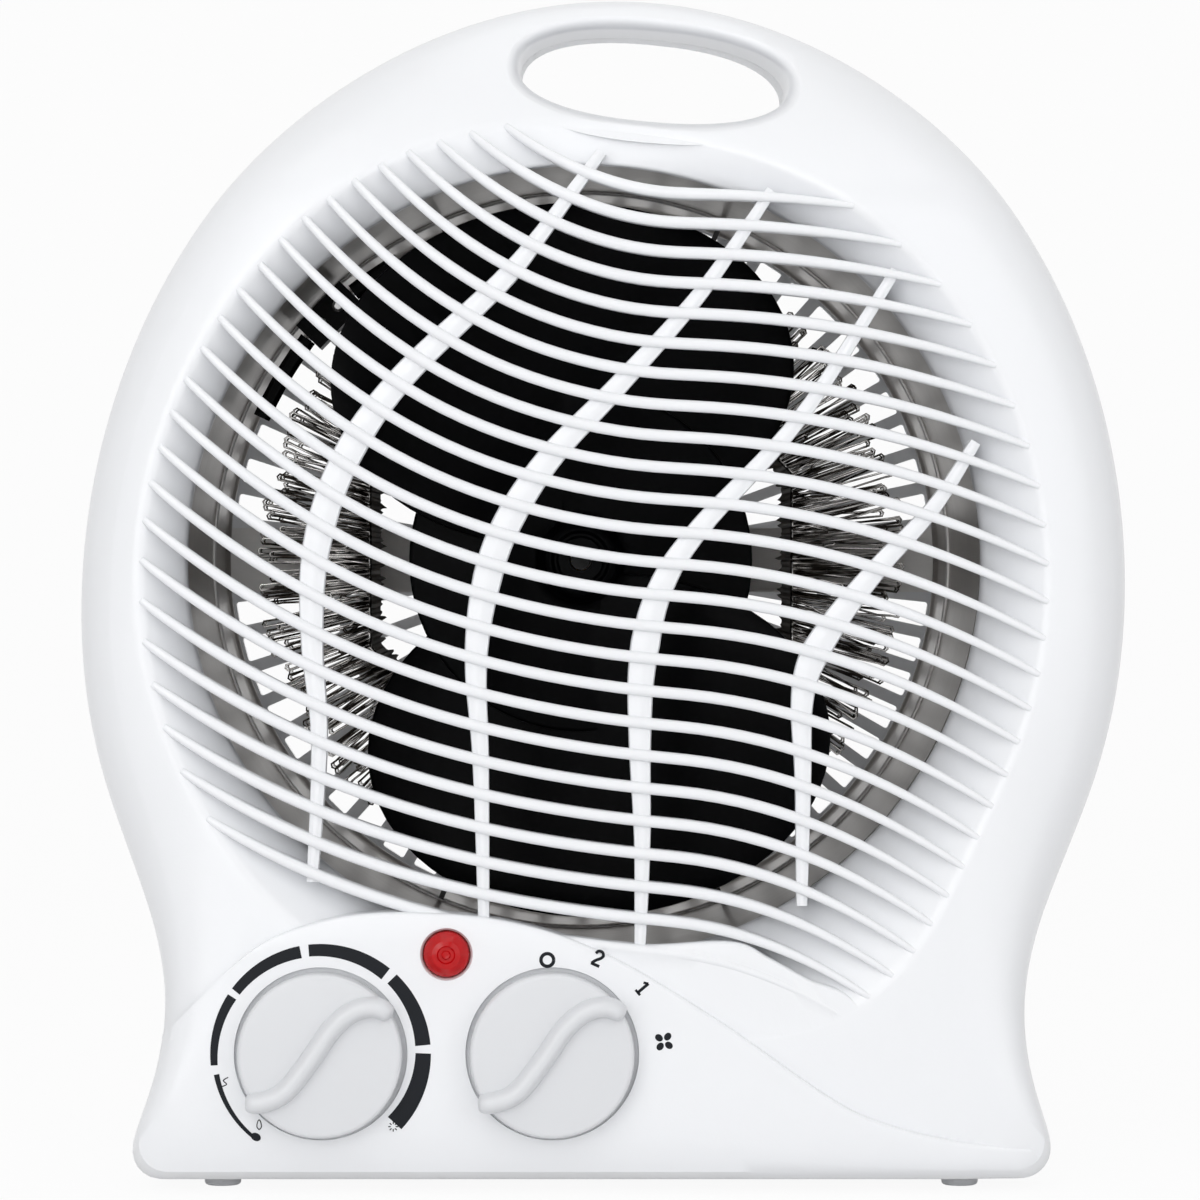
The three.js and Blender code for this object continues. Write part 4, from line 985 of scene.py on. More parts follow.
@dataclass
class Grille:
    """The opening of the front shell, its sloped surround, the swept fins and the ribs that carry them."""

    shape: CaseShape
    opening_x: float = -0.003899
    opening_z: float = 0.1276
    opening_radius: float = 0.0807
    opening_set_back: float = 0.0105
    lip: float = 0.0022
    tip_x: float = -0.001849
    tip_z: float = 0.124
    tip_circle: float = 0.0917
    lower_right_reach: float = 0.009
    upper_left_reach: float = 0.0028
    fin_count: int = 26
    first_fin: float = 0.2117
    fin_pitch: float = 0.00646
    fin_rise: float = 0.0012
    fin_thickness: float = 0.00235
    fin_tip: float = 0.0013
    fin_depth: float = 0.008
    fin_proud: float = 0.0003
    left_taper: float = 0.020
    right_taper: float = 0.034
    valley_round: float = 0.003
    valley_slope: Pair = (0.070, -0.065)
    valley_left: Pair = (0.012, 0.005)
    valley_right: Pair = (0.0175, 0.004)
    left_growth: tuple[float, float, float] = (3.1, 4.1, 1.7)
    right_growth: tuple[float, float, float] = (2.8, 4.4, -1.35)
    left_lift: tuple[float, float, float] = (20.2, 32.9, 31.3)
    left_drop: Pair = (1.03, 0.46)
    rib_width: float = 0.0060
    rib_end_width: float = 0.0022
    rib_depth: float = 0.0064
    rib_set_back: float = 0.0012
    zero_x: float = -0.000649

    def tip_reach(self, turn: float) -> float:
        """The reach of the line of fin tips in a direction, wider at the lower right and the upper left."""
        right = (turn - math.radians(-58)) / math.radians(18)
        left = (turn - math.radians(113)) / math.radians(26)
        lower_right = self.lower_right_reach * math.exp(-(right**2))
        upper_left = self.upper_left_reach * math.exp(-(left**2))
        return self.tip_circle + lower_right + upper_left

    def inside(self, x: float, z: float) -> float:
        """How far a place lies inside the line of fin tips."""
        away = Vector((x - self.tip_x, z - self.tip_z))
        return self.tip_reach(math.atan2(away.y, away.x)) - away.length

    def outside(self, x: float, z: float) -> float:
        """How far a place lies outside the opening."""
        return math.hypot(x - self.opening_x, z - self.opening_z) - self.opening_radius

    def rim_depth(self) -> float:
        """The depth of the opening's rim."""
        return self.shape.parting - self.shape.front.depth + self.opening_set_back

    def recess(self, x: float, z: float) -> float:
        """The depth of the sloped wall between the fin tips and the opening."""
        face = self.shape.skin(self.shape.front, x, z).y
        inside, outside = self.inside(x, z), self.outside(x, z)
        if outside <= 0:
            return self.rim_depth()
        return face + (self.rim_depth() - face) * inside / (inside + outside)

    def fin_starts(self) -> list[float]:
        """The heights at which the fins cross the zero line, from the top."""
        starts = []
        for index in range(1, self.fin_count):
            share = min(max((index - 1) / 22, 0), 1)
            starts.append(self.first_fin - self.fin_pitch * index + self.fin_rise * 4 * share * (1 - share))
        return starts

    def fin_height(self, start: float, x: float) -> float:
        """The height of a fin's middle line, for the fin that crosses the zero line at a height.

        Every fin falls gently through a valley and ever faster on both sides of it. Its slope on the left
        grows for the upper fins, and its slope on the right for the lower ones.

        Args:
            start: The height at the zero line, which names the fin.
            x: The place across the grille.

        Returns:
            The height.
        """
        level = (start - self.tip_z) / self.tip_circle
        gentle = self.valley_slope[0] + self.valley_slope[1] * max(level, -0.3)
        left = self.valley_left[0] + self.valley_left[1] * level
        right = self.valley_right[0] + self.valley_right[1] * level
        sides = (self.left_growth, self.right_growth)
        left_growth, right_growth = (base + swell * math.exp(power * level) for base, swell, power in sides)
        across = x - self.zero_x

        def eased(away: float) -> float:
            """The area under a ramp with a rounded foot."""
            soft = self.valley_round
            return (away * away + away * math.hypot(away, soft) + soft**2 * math.asinh(away / soft)) / 4

        fall = gentle * across - left_growth * (eased(left - across) - eased(left))
        far = max(0.0, -across)
        even, tilted, bent = self.left_lift
        drop = self.left_drop[0] + self.left_drop[1] * level
        lift = far**3 * (even + tilted * level + bent * level**2) - far**2 * drop
        return start - fall - right_growth * (eased(across - right) - eased(-right)) + lift

    def fin_end(self, start: float, direction: int) -> float:
        """Where a fin meets the line of tips, on the left or on the right."""
        step = self.fin_thickness / 8
        x = self.zero_x + direction * step
        while self.inside(x, self.fin_height(start, x)) > 0:
            x += direction * step
        return x

    @staticmethod
    def blade(x: float, z: float, along: Vector, width: float, front: float, back: float) -> list[Vector]:
        """One section of a blade: round in front, slightly thinner behind.

        Args:
            x: The place across.
            z: The height.
            along: The blade's direction.
            width: The blade's width.
            front: The depth of its front.
            back: The depth of its back.

        Returns:
            The section's points.
        """
        across = Vector((-along.y, along.x))
        half = width / 2
        section = []
        for step in range(9):
            turn = math.pi * step / 8
            section.append((half * math.cos(turn), front + half * (1 - math.sin(turn))))
        section += [(-half * 0.82, back), (half * 0.82, back)]
        return [Vector((x + across.x * off, y, z + across.y * off)) for off, y in section]

    def fin(self, start: float) -> Mesh:
        """One swept fin from tip to tip.

        Args:
            start: The fin's height at the zero line.

        Returns:
            The fin.
        """
        left, right = self.fin_end(start, -1), self.fin_end(start, 1)
        steps = 56
        sections = []
        for step in range(steps + 1):
            share = 0.5 - 0.5 * math.cos(math.pi * step / steps)
            x = left + (right - left) * share
            z = self.fin_height(start, x)
            ahead = self.fin_height(start, x + self.fin_thickness)
            along = Vector((self.fin_thickness, ahead - z)).normalized()
            blunt = min(1.0, max(x - left, 0) / self.left_taper) ** 0.42
            slim = min(1.0, max(right - x, 0) / self.right_taper) ** 0.75
            width = self.fin_tip + (self.fin_thickness - self.fin_tip) * min(blunt, slim)
            face = self.shape.skin(self.shape.front, x, z).y
            back = face + self.fin_depth
            if self.outside(x, z) >= 0:
                back = min(back, self.recess(x, z) + self.lip)
            proud = self.fin_proud * min(1.0, 2 * min(blunt, slim))
            sections.append(self.blade(x, z, along, width, face - proud, max(back, face + width)))
        return sweep(sections)

    def rib(self, path: Sequence[Pair]) -> Mesh:
        """One rib behind the fins, with a raised middle band.

        Args:
            path: Its points, in shares of the opening's radius.

        Returns:
            The rib.
        """
        spots = [
            Vector((self.opening_x + x * self.opening_radius, self.opening_z + z * self.opening_radius))
            for x, z in path
        ]
        line = smooth_line(spots, 8)
        sections = []
        for index, spot, along in directions(line):
            across = Vector((-along.y, along.x))
            to_end = min(index / 30, (len(line) - 1 - index) / 26)
            half = (self.rib_end_width + (self.rib_width - self.rib_end_width) * min(1.0, to_end)) / 2
            front = self.shape.skin(self.shape.front, spot.x, spot.y).y + self.rib_set_back
            band = self.fin_proud
            half_outline = [
                (half, band * 3), (half * 0.9, band * 1.2), (half * 0.48, band * 0.5), (half * 0.3, 0)
            ]
            outline = half_outline + [(-off, y) for off, y in reversed(half_outline)]
            outline += [(-half * 0.9, self.rib_depth), (half * 0.9, self.rib_depth)]
            sections.append(
                [Vector((spot.x + across.x * off, front + y, spot.y + across.y * off)) for off, y in outline]
            )
        return sweep(sections)


RIB_PATHS: tuple[tuple[Pair, ...], ...] = (
    ((0.045, 1.03), (-0.1, 0.83), (-0.21, 0.697), (-0.46, 0.455), (-0.6, 0.25), (-0.67, 0.03), (-0.68, -0.2),
     (-0.662, -0.445), (-0.68, -0.8)),
    ((0.47, 0.93), (0.29, 0.67), (0.08, 0.435), (-0.09, 0.255), (-0.2, 0.08), (-0.25, -0.08), (-0.27, -0.26),
     (-0.258, -0.5), (-0.25, -0.92)),
    ((0.78, 0.73), (0.54, 0.36), (0.29, 0.085), (0.19, -0.07), (0.147, -0.25), (0.14, -0.45), (0.146, -0.7),
     (0.14, -0.98)),
    ((0.98, 0.3), (0.875, 0.137), (0.735, -0.015), (0.633, -0.142), (0.568, -0.25), (0.545, -0.36),
     (0.548, -0.55), (0.545, -0.86)),
)


@dataclass
class FrontShell:
    """The front half of the case, with its grille, the control dome and half of the handle opening."""

    shape: CaseShape
    grille: Grille
    handle: HandleOpening
    dome_wall: float = 0.009
    dome_sink: float = 0.0001
    shoulder_sink: float = 0.00003
    edge_round: float = 0.0012
    fold_round: float = 0.0016
    face_turn: float = math.radians(44)
    floor_round: float = 0.0003
    mouth_round: float = 0.0004
    lens_sink: float = 0.0001
    lens_seat: float = 0.0006
    dome_edge: tuple[Pair, ...] = (
        (-0.925, 0.2), (-0.881, 0.385), (-0.758, 0.524), (-0.627, 0.586), (-0.463, 0.611), (-0.22, 0.596),
        (0, 0.528), (0.245, 0.385), (0.491, 0.215), (0.612, 0.156), (0.775, 0.116), (0.93, 0.1),
    )
    shoulder_edge: tuple[Pair, ...] = (
        (-0.2, 0.54), (0.1, 0.54), (0.286, 0.547), (0.367, 0.511), (0.448, 0.467), (0.555, 0.41), (0.64, 0.2),
    )

    def _shares(self, table: Sequence[Pair], steps: int) -> list[Vector]:
        """A smooth edge line from shares of the base's half width."""
        base = self.shape.base_half
        return smooth_line([Vector((x * base + self.grille.zero_x, z * base)) for x, z in table], steps)

    def skin(self) -> Mesh:
        """The shell's skin with the sloped surround of the grille, its lip and its inside.

        Returns:
            The skin.
        """
        shape, grille = self.shape, self.grille
        rims = shape.outline
        rows: list[Callable[[int], Vector]] = []
        edge_rows = 14
        for step in range(edge_rows + 1):
            turn = self.face_turn * step / edge_rows
            rows.append(lambda k, t=turn: shape.round_edge(shape.front, rims[k], t))

        def tip(k: int, wider: float = 0.0) -> Vector:
            """A place on the line of fin tips, or outside it."""
            turn = math.atan2(*(rims[k] - shape.centre).yx)
            reach = grille.tip_reach(turn) + wider
            return Vector((grille.tip_x + reach * math.cos(turn), grille.tip_z + reach * math.sin(turn)))

        def rim(k: int, wider: float = 0.0) -> Vector:
            """A place on the opening's rim, or outside it."""
            turn = math.atan2(*(rims[k] - shape.centre).yx)
            reach = grille.opening_radius + wider
            return Vector(
                (grille.opening_x + reach * math.cos(turn), grille.opening_z + reach * math.sin(turn))
            )

        def on_face(k: int, share: float) -> Vector:
            """A point of the face between the rounded edge and the fold at the fin tips."""
            start = shape.round_edge(shape.front, rims[k], self.face_turn)
            spot = Vector((start.x, start.z)).lerp(tip(k, self.fold_round), share)
            return shape.skin(shape.front, spot.x, spot.y)

        face_rows = 8
        for step in range(1, face_rows + 1):
            rows.append(lambda k, s=step / face_rows: on_face(k, s))

        def slope(k: int, share: float) -> Vector:
            """A point of the sloped surround, from the fin tips to the rim."""
            outer = tip(k)
            start = shape.skin(shape.front, outer.x, outer.y)
            inner = rim(k)
            return start.lerp(Vector((inner.x, grille.rim_depth(), inner.y)), share)

        def bend(k: int, share: float) -> Vector:
            """A point of the rounded fold at the fin tips."""
            reach = min(0.45, self.fold_round / (slope(k, 1) - slope(k, 0)).length)
            start, corner, end = on_face(k, 1), slope(k, 0), slope(k, reach)
            return start * (1 - share) ** 2 + corner * 2 * share * (1 - share) + end * share**2

        for step in range(1, 6):
            rows.append(lambda k, s=step / 5: bend(k, s))
        for share in (0.46, 0.65, 0.9):
            rows.append(lambda k, s=share: slope(k, s))

        def lip(k: int, share: float) -> Vector:
            """A point of the rounded lip of the opening."""
            start, corner = slope(k, 0.9), slope(k, 1)
            end = corner + Vector((0, grille.lip * 0.6, 0))
            return start * (1 - share) ** 2 + corner * 2 * share * (1 - share) + end * share**2

        for step in range(1, 5):
            rows.append(lambda k, s=step / 4: lip(k, s))
        rows.append(lambda k: slope(k, 1) + Vector((0, grille.lip, 0)))

        def inner_fold(k: int) -> Vector:
            """A point behind the fold at the fin tips."""
            spot = tip(k, shape.wall / 2)
            return shape.skin(shape.front, spot.x, spot.y, shape.wall)

        rows.append(inner_fold)
        for degrees in (44, 38, 30, 15, 0):
            turn = math.radians(degrees)
            rows.append(lambda k, t=turn: shape.round_edge(shape.front, rims[k], t, shape.wall))
        rows.append(rows[0])
        count = len(rims)
        return bent_grid(count, len(rows) - 1, lambda c, r: rows[r](c % count))

    def patch(
        self, edge: Sequence[Vector], raised: Callable[[float], float], deep: float, to_rim: bool
    ) -> Mesh:
        """A closed part of the face below an edge line, with a rounded edge and a wall behind it.

        Args:
            edge: The edge line from left to right.
            raised: How far the face stands out at a share of the edge's length.
            deep: How far the wall behind the edge reaches back.
            to_rim: Whether the patch runs to the outline, or ends under the control dome.

        Returns:
            The patch.
        """
        shape = self.shape
        last = len(edge) - 1
        wall = shape.wall * 0.8
        columns = []
        for index, spot in enumerate(edge):
            away = spot - shape.centre
            turn = math.atan2(away.y, away.x)
            rim = shape.centre + away.normalized() * shape.reach(turn)
            outward = away.normalized()
            height = raised(index / last)

            def face(place: Vector, sunk: float = 0.0, up: float = height) -> Vector:
                """A point at or below the raised face."""
                return shape.skin(shape.front, place.x, place.y, 0.0, up) + Vector((0, sunk, 0))

            column = [face(spot, deep), face(spot, self.edge_round * 2)]
            for step in range(1, 6):
                bend = math.pi / 2 * step / 5
                off = self.edge_round * (1 - math.cos(bend))
                column.append(face(spot + outward * off, self.edge_round * (1 - math.sin(bend))))
            start = spot + outward * self.edge_round
            end = shape.round_edge(shape.front, rim, self.face_turn, 0.0, height)
            end_spot = Vector((end.x, end.z))
            if to_rim:
                for step in range(1, 11):
                    column.append(face(start.lerp(end_spot, step / 10)))
                for step in range(14, -1, -1):
                    column.append(shape.round_edge(shape.front, rim, self.face_turn * step / 14, 0.0, height))
                for degrees in (0, 15, 30, 40):
                    column.append(shape.round_edge(shape.front, rim, math.radians(degrees), wall, 0.0))
            else:
                for step in range(1, 11):
                    column.append(face(start.lerp(end_spot, step / 10 * 0.96)))
                column.append(face(start.lerp(end_spot, 0.96), wall))
            column.append(face(spot + outward * wall, wall, 0.0))
            column.append(face(spot + outward * wall, deep))
            columns.append(column)
        count = len(columns[0])
        return bent_grid(last, count, lambda c, r: columns[c][r % count], capped=True)

    def dome(self) -> Mesh:
        """The raised control dome at the foot of the face."""

        def raised(share: float) -> float:
            """The dome sinks into the face at both ends."""
            near = min(share / 0.1, (1 - share) / 0.16, 1.0)
            rise = near * near * (3 - 2 * near)
            return self.shape.dome_raise * rise - self.dome_sink * (1 - rise)

        return self.patch(self._shares(self.dome_edge, 12), raised, self.dome_wall, True)

    def shoulder(self) -> Mesh:
        """The part of the face that closes the opening below the last fins."""
        return self.patch(
            self._shares(self.shoulder_edge, 8), lambda share: -self.shoulder_sink, self.shape.wall, False
        )

    def recesses(self, controls: "Controls") -> list[tuple[Join, Mesh]]:
        """The cuts for the dials, their spindles and the lamp.

        Args:
            controls: The dials and the lamp.

        Returns:
            The cuts.
        """
        cuts = []
        front = self.shape.parting - self.shape.front.depth - self.shape.dome_raise
        for dial in controls.dials():
            radius, depth = controls.knob_radius + controls.knob_gap, controls.recess_depth
            centre = Vector((dial.x, front, dial.y))
            floor = [(0, depth, 0), (radius, depth, self.floor_round)]
            mouth = [(radius, 0, self.mouth_round), (radius + depth, -depth, 0), (0, -depth, 0)]
            profile = softened([*floor, *mouth])
            cuts.append((Join.CUT, lathe(profile, 128, centre)))
            cuts.append((Join.CUT, bar(controls.spindle_radius * 1.1, (0, self.shape.wall * 4), 32, centre)))
        lamp = controls.lamp
        radius = controls.lamp_radius * 1.06
        mouth = [(0, -radius), (radius * 1.4, -radius), (radius * 1.08, self.lens_sink)]
        profile = [*mouth, (radius, self.lens_seat), (radius, 4 * radius), (0, 4 * radius)]
        cuts.append((Join.CUT, lathe(profile, 64, Vector((lamp.x, front, lamp.y)))))
        return cuts

    def build(self, finishes: Finishes, controls: "Controls") -> None:
        """Builds the shell as one piece.

        Args:
            finishes: The heater's finishes.
            controls: The dials and the lamp.
        """
        grille, shape = self.grille, self.shape
        steps = [(Join.ADD, self.shoulder()), (Join.ADD, self.dome())]
        steps += [(Join.ADD, grille.rib(path)) for path in RIB_PATHS]
        steps += [(Join.ADD, grille.fin(start)) for start in grille.fin_starts()]
        steps += [(Join.ADD, self.handle.tunnel(shape.front)), (Join.CUT, self.handle.space(shape.front))]
        steps += self.recesses(controls)
        case = joined(self.skin(), steps)
        add_piece("front_case", case, finishes.white, CASE, ["front_shell"])


@dataclass
class RearShell:
    """The rear half of the case, with its air intake, screw wells and the cord entry."""

    shape: CaseShape
    handle: HandleOpening
    slot_rings: tuple[tuple[int, float, float, float], ...] = (
        (36, 0.0320, 0.0530, 0.0024), (60, 0.0560, 0.0777, 0.0027),
    )
    well_radius: float = 0.0032
    boss_radius: float = 0.0042
    well_seat: float = 0.008
    hole_radius: float = 0.00175
    entry_radius: float = 0.0053
    entry_play: float = 0.0003
    through: float = 0.02

    def skin(self) -> Mesh:
        """The shell's skin, its inside and its parting edge.

        Returns:
            The skin.
        """
        shape = self.shape
        rims = shape.outline
        turns = [math.radians(44) * step / 14 for step in range(15)]
        rows: list[Callable[[int], Vector]] = []

        def on_face(k: int, share: float, inset: float) -> Vector:
            """A point of the face at a share of the way out from the middle."""
            edge = shape.round_edge(shape.rear, rims[k], turns[-1], inset)
            spot = shape.centre.lerp(Vector((edge.x, edge.z)), share)
            return shape.skin(shape.rear, spot.x, spot.y, inset)

        levels = (0.0, 0.12, 0.25, 0.38, 0.5, 0.6, 0.7, 0.78, 0.85, 0.91, 0.96)
        for level in levels:
            rows.append(lambda k, s=level: on_face(k, s, shape.wall))
        for turn in (turns[14], turns[11], turns[7], turns[3], turns[0]):
            rows.append(lambda k, t=turn: shape.round_edge(shape.rear, rims[k], t, shape.wall))
        for turn in turns:
            rows.append(lambda k, t=turn: shape.round_edge(shape.rear, rims[k], t))
        for level in reversed(levels):
            rows.append(lambda k, s=level: on_face(k, s, 0.0))
        count = len(rims)
        return bent_grid(count, len(rows) - 1, lambda c, r: rows[r](c % count))

    def slot(self, ring: tuple[int, float, float, float], index: int, axis: Vector) -> Mesh:
        """One wedge-shaped air slot with rounded corners, as a block to cut away.

        Args:
            ring: Its row: count, inner and outer radius, and the web between slots.
            index: Its number in the row.
            axis: A point on the duct's axis.

        Returns:
            The block.
        """
        count, inner, outer, web = ring
        pitch = math.tau / count
        turn = (index + 0.5) * pitch
        corners = []
        for radius, soft in ((inner, 0.8), (outer, 0.25)):
            half = radius * math.sin(pitch / 2) - web / 2
            corners.append((radius, half, half * soft))
        near, far = corners
        outline = softened(
            [(near[0], 0, 0), (near[0], near[1], near[2]), (far[0], far[1], far[2]), (far[0], 0, 0)], 5
        )
        outline += [(along, -across) for along, across in reversed(outline[1:-1])]
        front = self.shape.parting + self.shape.rear.depth - self.shape.wall * 4
        back = self.shape.parting + self.shape.rear.depth + self.shape.wall * 4
        rings = []
        for depth in (front, back):
            ring = []
            for along, across in outline:
                x = axis.x + along * math.cos(turn) - across * math.sin(turn)
                z = axis.z + along * math.sin(turn) + across * math.cos(turn)
                ring.append(Vector((x, depth, z)))
            rings.append(ring)
        return sweep(rings)

    def tower(self, x: float, z: float) -> Mesh:
        """A screw tower from the parting face to the skin, its end cut along the skin's slope.

        Args:
            x: The place across.
            z: The height.

        Returns:
            The tower.
        """
        shape = self.shape
        start = shape.parting + shape.parting_gap / 2

        def point(column: int, row: int) -> Vector:
            """A point of the tower: the middle and the rim of its start, then of its end."""
            turn = math.tau * (column % 32) / 32
            reach = self.boss_radius if row in (1, 2) else 0.0
            spot = Vector((x + reach * math.cos(turn), z + reach * math.sin(turn)))
            end = shape.skin(shape.rear, spot.x, spot.y, shape.wall / 2).y
            return Vector((spot.x, start if row < 2 else end, spot.y))

        return bent_grid(32, 3, point)

    def build(self, finishes: Finishes, axis: Vector) -> None:
        """Builds the shell as one piece.

        Args:
            finishes: The heater's finishes.
            axis: A point on the duct's axis.
        """
        shape = self.shape
        steps = [(Join.ADD, self.handle.tunnel(shape.rear)), (Join.CUT, self.handle.space(shape.rear))]
        for ring in self.slot_rings:
            steps += [(Join.CUT, self.slot(ring, index, axis)) for index in range(ring[0])]
        back = shape.parting + shape.rear.depth
        for index in range(1, 5):
            middle = middle_of(f"shell_screw_{index}")
            centre = Vector((middle.x, 0, middle.z))
            well = bar(self.well_radius, (shape.parting + self.well_seat, back), 32, centre)
            hole = bar(self.hole_radius, (-self.through, back), 24, centre)
            steps += [(Join.ADD, self.tower(middle.x, middle.z)), (Join.CUT, well), (Join.CUT, hole)]
        low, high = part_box("cord_bush")
        middle = (low + high) / 2
        radius = (high.x - low.x) / 2 + self.entry_play
        seat, inside, outside = back - shape.wall, back - shape.wall - self.through, back + self.through / 2
        entry = [(0, inside), (self.entry_radius, inside), (self.entry_radius, seat)]
        entry += [(radius, seat), (radius, outside), (0, outside)]
        steps.append((Join.CUT, lathe(entry, 48, Vector((middle.x, 0, middle.z)))))
        case = joined(self.skin(), steps)
        add_piece("rear_case", case, finishes.thin, CASE, ["rear_shell"])


# Controls


@dataclass
class Controls:
    """The two dials, the printed marks round them and the red lamp."""

    shape: CaseShape
    knob_radius: float = 0.0165
    knob_gap: float = 0.0009
    knob_height: float = 0.0066
    knob_edge: float = 0.0011
    knob_foot_round: float = 0.0002
    boss_radius: float = 0.0052
    recess_depth: float = 0.0016
    ridge_height: float = 0.0034
    ridge_width: float = 0.0034
    spindle_radius: float = 0.003
    clearance: float = 0.0003
    lamp_radius: float = 0.0046
    print_depth: float = 0.00004
    scale_radius: float = 0.0222
    scale_arcs: tuple[tuple[float, float, float, Pair], ...] = (
        (0.985, 231, 191, (0.0007, 0.0011)), (1, 186, 147, (0.0014, 0.0020)),
        (1, 143.5, 101, (0.0020, 0.0025)), (1, 96.5, 51, (0.0024, 0.0028)),
        (1, 46.5, 5, (0.0026, 0.0031)), (1, 0.5, -43, (0.0031, 0.0037)),
    )
    scale_dot: float = 0.0008
    frost_size: float = 0.0011
    drop_size: float = 0.0010
    ray_span: Pair = (0.0005, 0.0010)
    fine_lines: Pair = (0.0002, 0.00022)
    sign_places: tuple[Pair, ...] = ((93, 0.0190), (64.5, 0.0214), (36.5, 0.0226), (6.5, 0.0226))
    ring_size: float = 0.00128
    ring_line: float = 0.0007
    two_size: float = 0.0015
    one_size: float = 0.0014
    digit_line: float = 0.0006
    serif_line: float = 0.0005
    petal_radius: float = 0.00068
    petal_reach: float = 0.00125
    ridge: tuple[Pair, ...] = (
        (-0.9, -0.56), (-0.7, -0.555), (-0.42, -0.43), (-0.12, -0.06), (0.16, 0.34), (0.42, 0.55),
        (0.68, 0.6), (0.88, 0.5),
    )
    lens_shape: tuple[Pair, ...] = (
        (0, -0.0021), (0.16, -0.0022), (0.2, -0.0019), (0.34, -0.0019), (0.4, -0.0022), (0.62, -0.0019),
        (0.86, -0.0009), (0.97, -0.0002), (1, 0.0004), (1, 0.0046), (1.19, 0.0046), (1.19, 0.0055),
        (0, 0.0055),
    )

    def __post_init__(self) -> None:
        """Reads the places of the dials and the lamp from the frame."""
        self.front = self.shape.parting - self.shape.front.depth - self.shape.dome_raise
        self.thermostat = middle_of("thermostat_spindle").xz
        self.selector = middle_of("selector_spindle").xz
        self.lamp = middle_of("lamp_body").xz

    def dials(self) -> tuple[Vector, Vector]:
        """The middles of both dials in the front view."""
        return self.thermostat, self.selector

    def knob(self, dial: Vector) -> Mesh:
        """A flat round knob with an S-shaped ridge.

        Args:
            dial: The dial's middle.

        Returns:
            The knob.
        """
        back = self.front + self.recess_depth - self.clearance
        face = back - self.knob_height
        radius, edge = self.knob_radius, self.knob_edge
        wall = edge * 1.5
        soft, boss = self.knob_foot_round, self.boss_radius
        profile = softened(
            [(0, face - back, 0), (radius, face - back, edge), (radius, 0, soft), (radius - wall, 0, soft),
             (radius - wall, face - back + wall, 0), (boss, face - back + wall, 0), (boss, 0, 0), (0, 0, 0)],
            5,
        )
        disc = lathe(profile, 128, Vector((dial.x, back, dial.y)))
        line = smooth_line([Vector((x, z)) * radius for x, z in self.ridge], 7)
        sections = []
        for index, spot, along in directions(line):
            across = Vector((-along.y, along.x))
            to_end = min(index, len(line) - 1 - index) / 5
            swell = math.sqrt(max(0.0, 1 - (1 - min(1.0, to_end)) ** 2))
            half = self.ridge_width / 2 * (0.25 + 0.75 * swell)
            tall = self.ridge_height * (0.15 + 0.85 * swell)
            section = []
            for step in range(13):
                turn = math.pi * step / 12
                side = math.copysign(abs(math.cos(turn)) ** 0.7, math.cos(turn))
                off = half * side * (1.25 - 0.25 * math.sin(turn))
                section.append((off, face - tall * math.sin(turn) ** 0.8))
            section += [(-half, face + wall / 2), (half, face + wall / 2)]
            x, z = dial.x + spot.x, dial.y + spot.y
            sections.append([Vector((x + across.x * off, y, z + across.y * off)) for off, y in section])
        return joined(disc, [(Join.ADD, sweep(sections))])

    def lens(self) -> Mesh:
        """The lamp's lens: a flat rim round a faceted dome with a sunk ring.

        Returns:
            The lens.
        """
        profile = [(self.lamp_radius * share, depth) for share, depth in self.lens_shape]
        return lathe(profile, 48, Vector((self.lamp.x, self.front, self.lamp.y)))

    def on_face(self, x: float, z: float, proud: float) -> Vector:
        """A point on the control dome, or in front of it."""
        return self.shape.skin(self.shape.front, x, z, 0.0, self.shape.dome_raise) - Vector((0, proud, 0))

    def stroke(self, line: Sequence[Vector], widths: Sequence[float]) -> Mesh:
        """A printed line whose width changes evenly along it.

        Args:
            line: The line's points in the front view.
            widths: The width at each point.

        Returns:
            The print as a thin closed mesh on the dome.
        """
        edges = []
        for index, spot, along in directions(line):
            across = Vector((-along.y, along.x)) * widths[index] / 2
            edges.append((spot + across, spot - across))
        sections = []
        for left, right in edges:
            sections.append([
                self.on_face(left.x, left.y, -self.print_depth),
                self.on_face(left.x, left.y, self.print_depth),
                self.on_face(right.x, right.y, self.print_depth),
                self.on_face(right.x, right.y, -self.print_depth),
            ])
        return sweep(sections)

    def arc(self, centre: Vector, radius: float, start: float, end: float, widths: Pair) -> Mesh:
        """A printed arc between two directions in degrees, growing from one width to another.

        Args:
            centre: The middle.
            radius: The outer radius.
            start: Where it starts.
            end: Where it ends.
            widths: Its width at both ends.

        Returns:
            The arc.
        """
        steps = max(6, round(abs(end - start) / 3))
        line, sizes = [], []
        for step in range(steps + 1):
            share = step / steps
            turn = math.radians(start + (end - start) * share)
            width = widths[0] + (widths[1] - widths[0]) * share
            line.append(centre + Vector((math.cos(turn), math.sin(turn))) * (radius - width / 2))
            sizes.append(width)
        return self.stroke(line, sizes)

    def figure(
        self, centre: Vector, size: float, turn: float, points: Sequence[Pair], width: float, steps: int = 5
    ) -> Mesh:
        """A figure drawn with one smooth line, turned about its middle.

        Args:
            centre: The middle.
            size: Half its height.
            turn: How far it is turned.
            points: Its points, in shares of its size.
            width: The line's width.
            steps: The steps between two points.

        Returns:
            The figure.
        """
        spots = []
        for x, z in points:
            spot = Vector((x, z)) * size
            spot.rotate(Matrix.Rotation(-turn, 2))
            spots.append(centre + spot)
        line = smooth_line(spots, steps) if steps > 1 else spots
        return self.stroke(line, [width] * len(line))

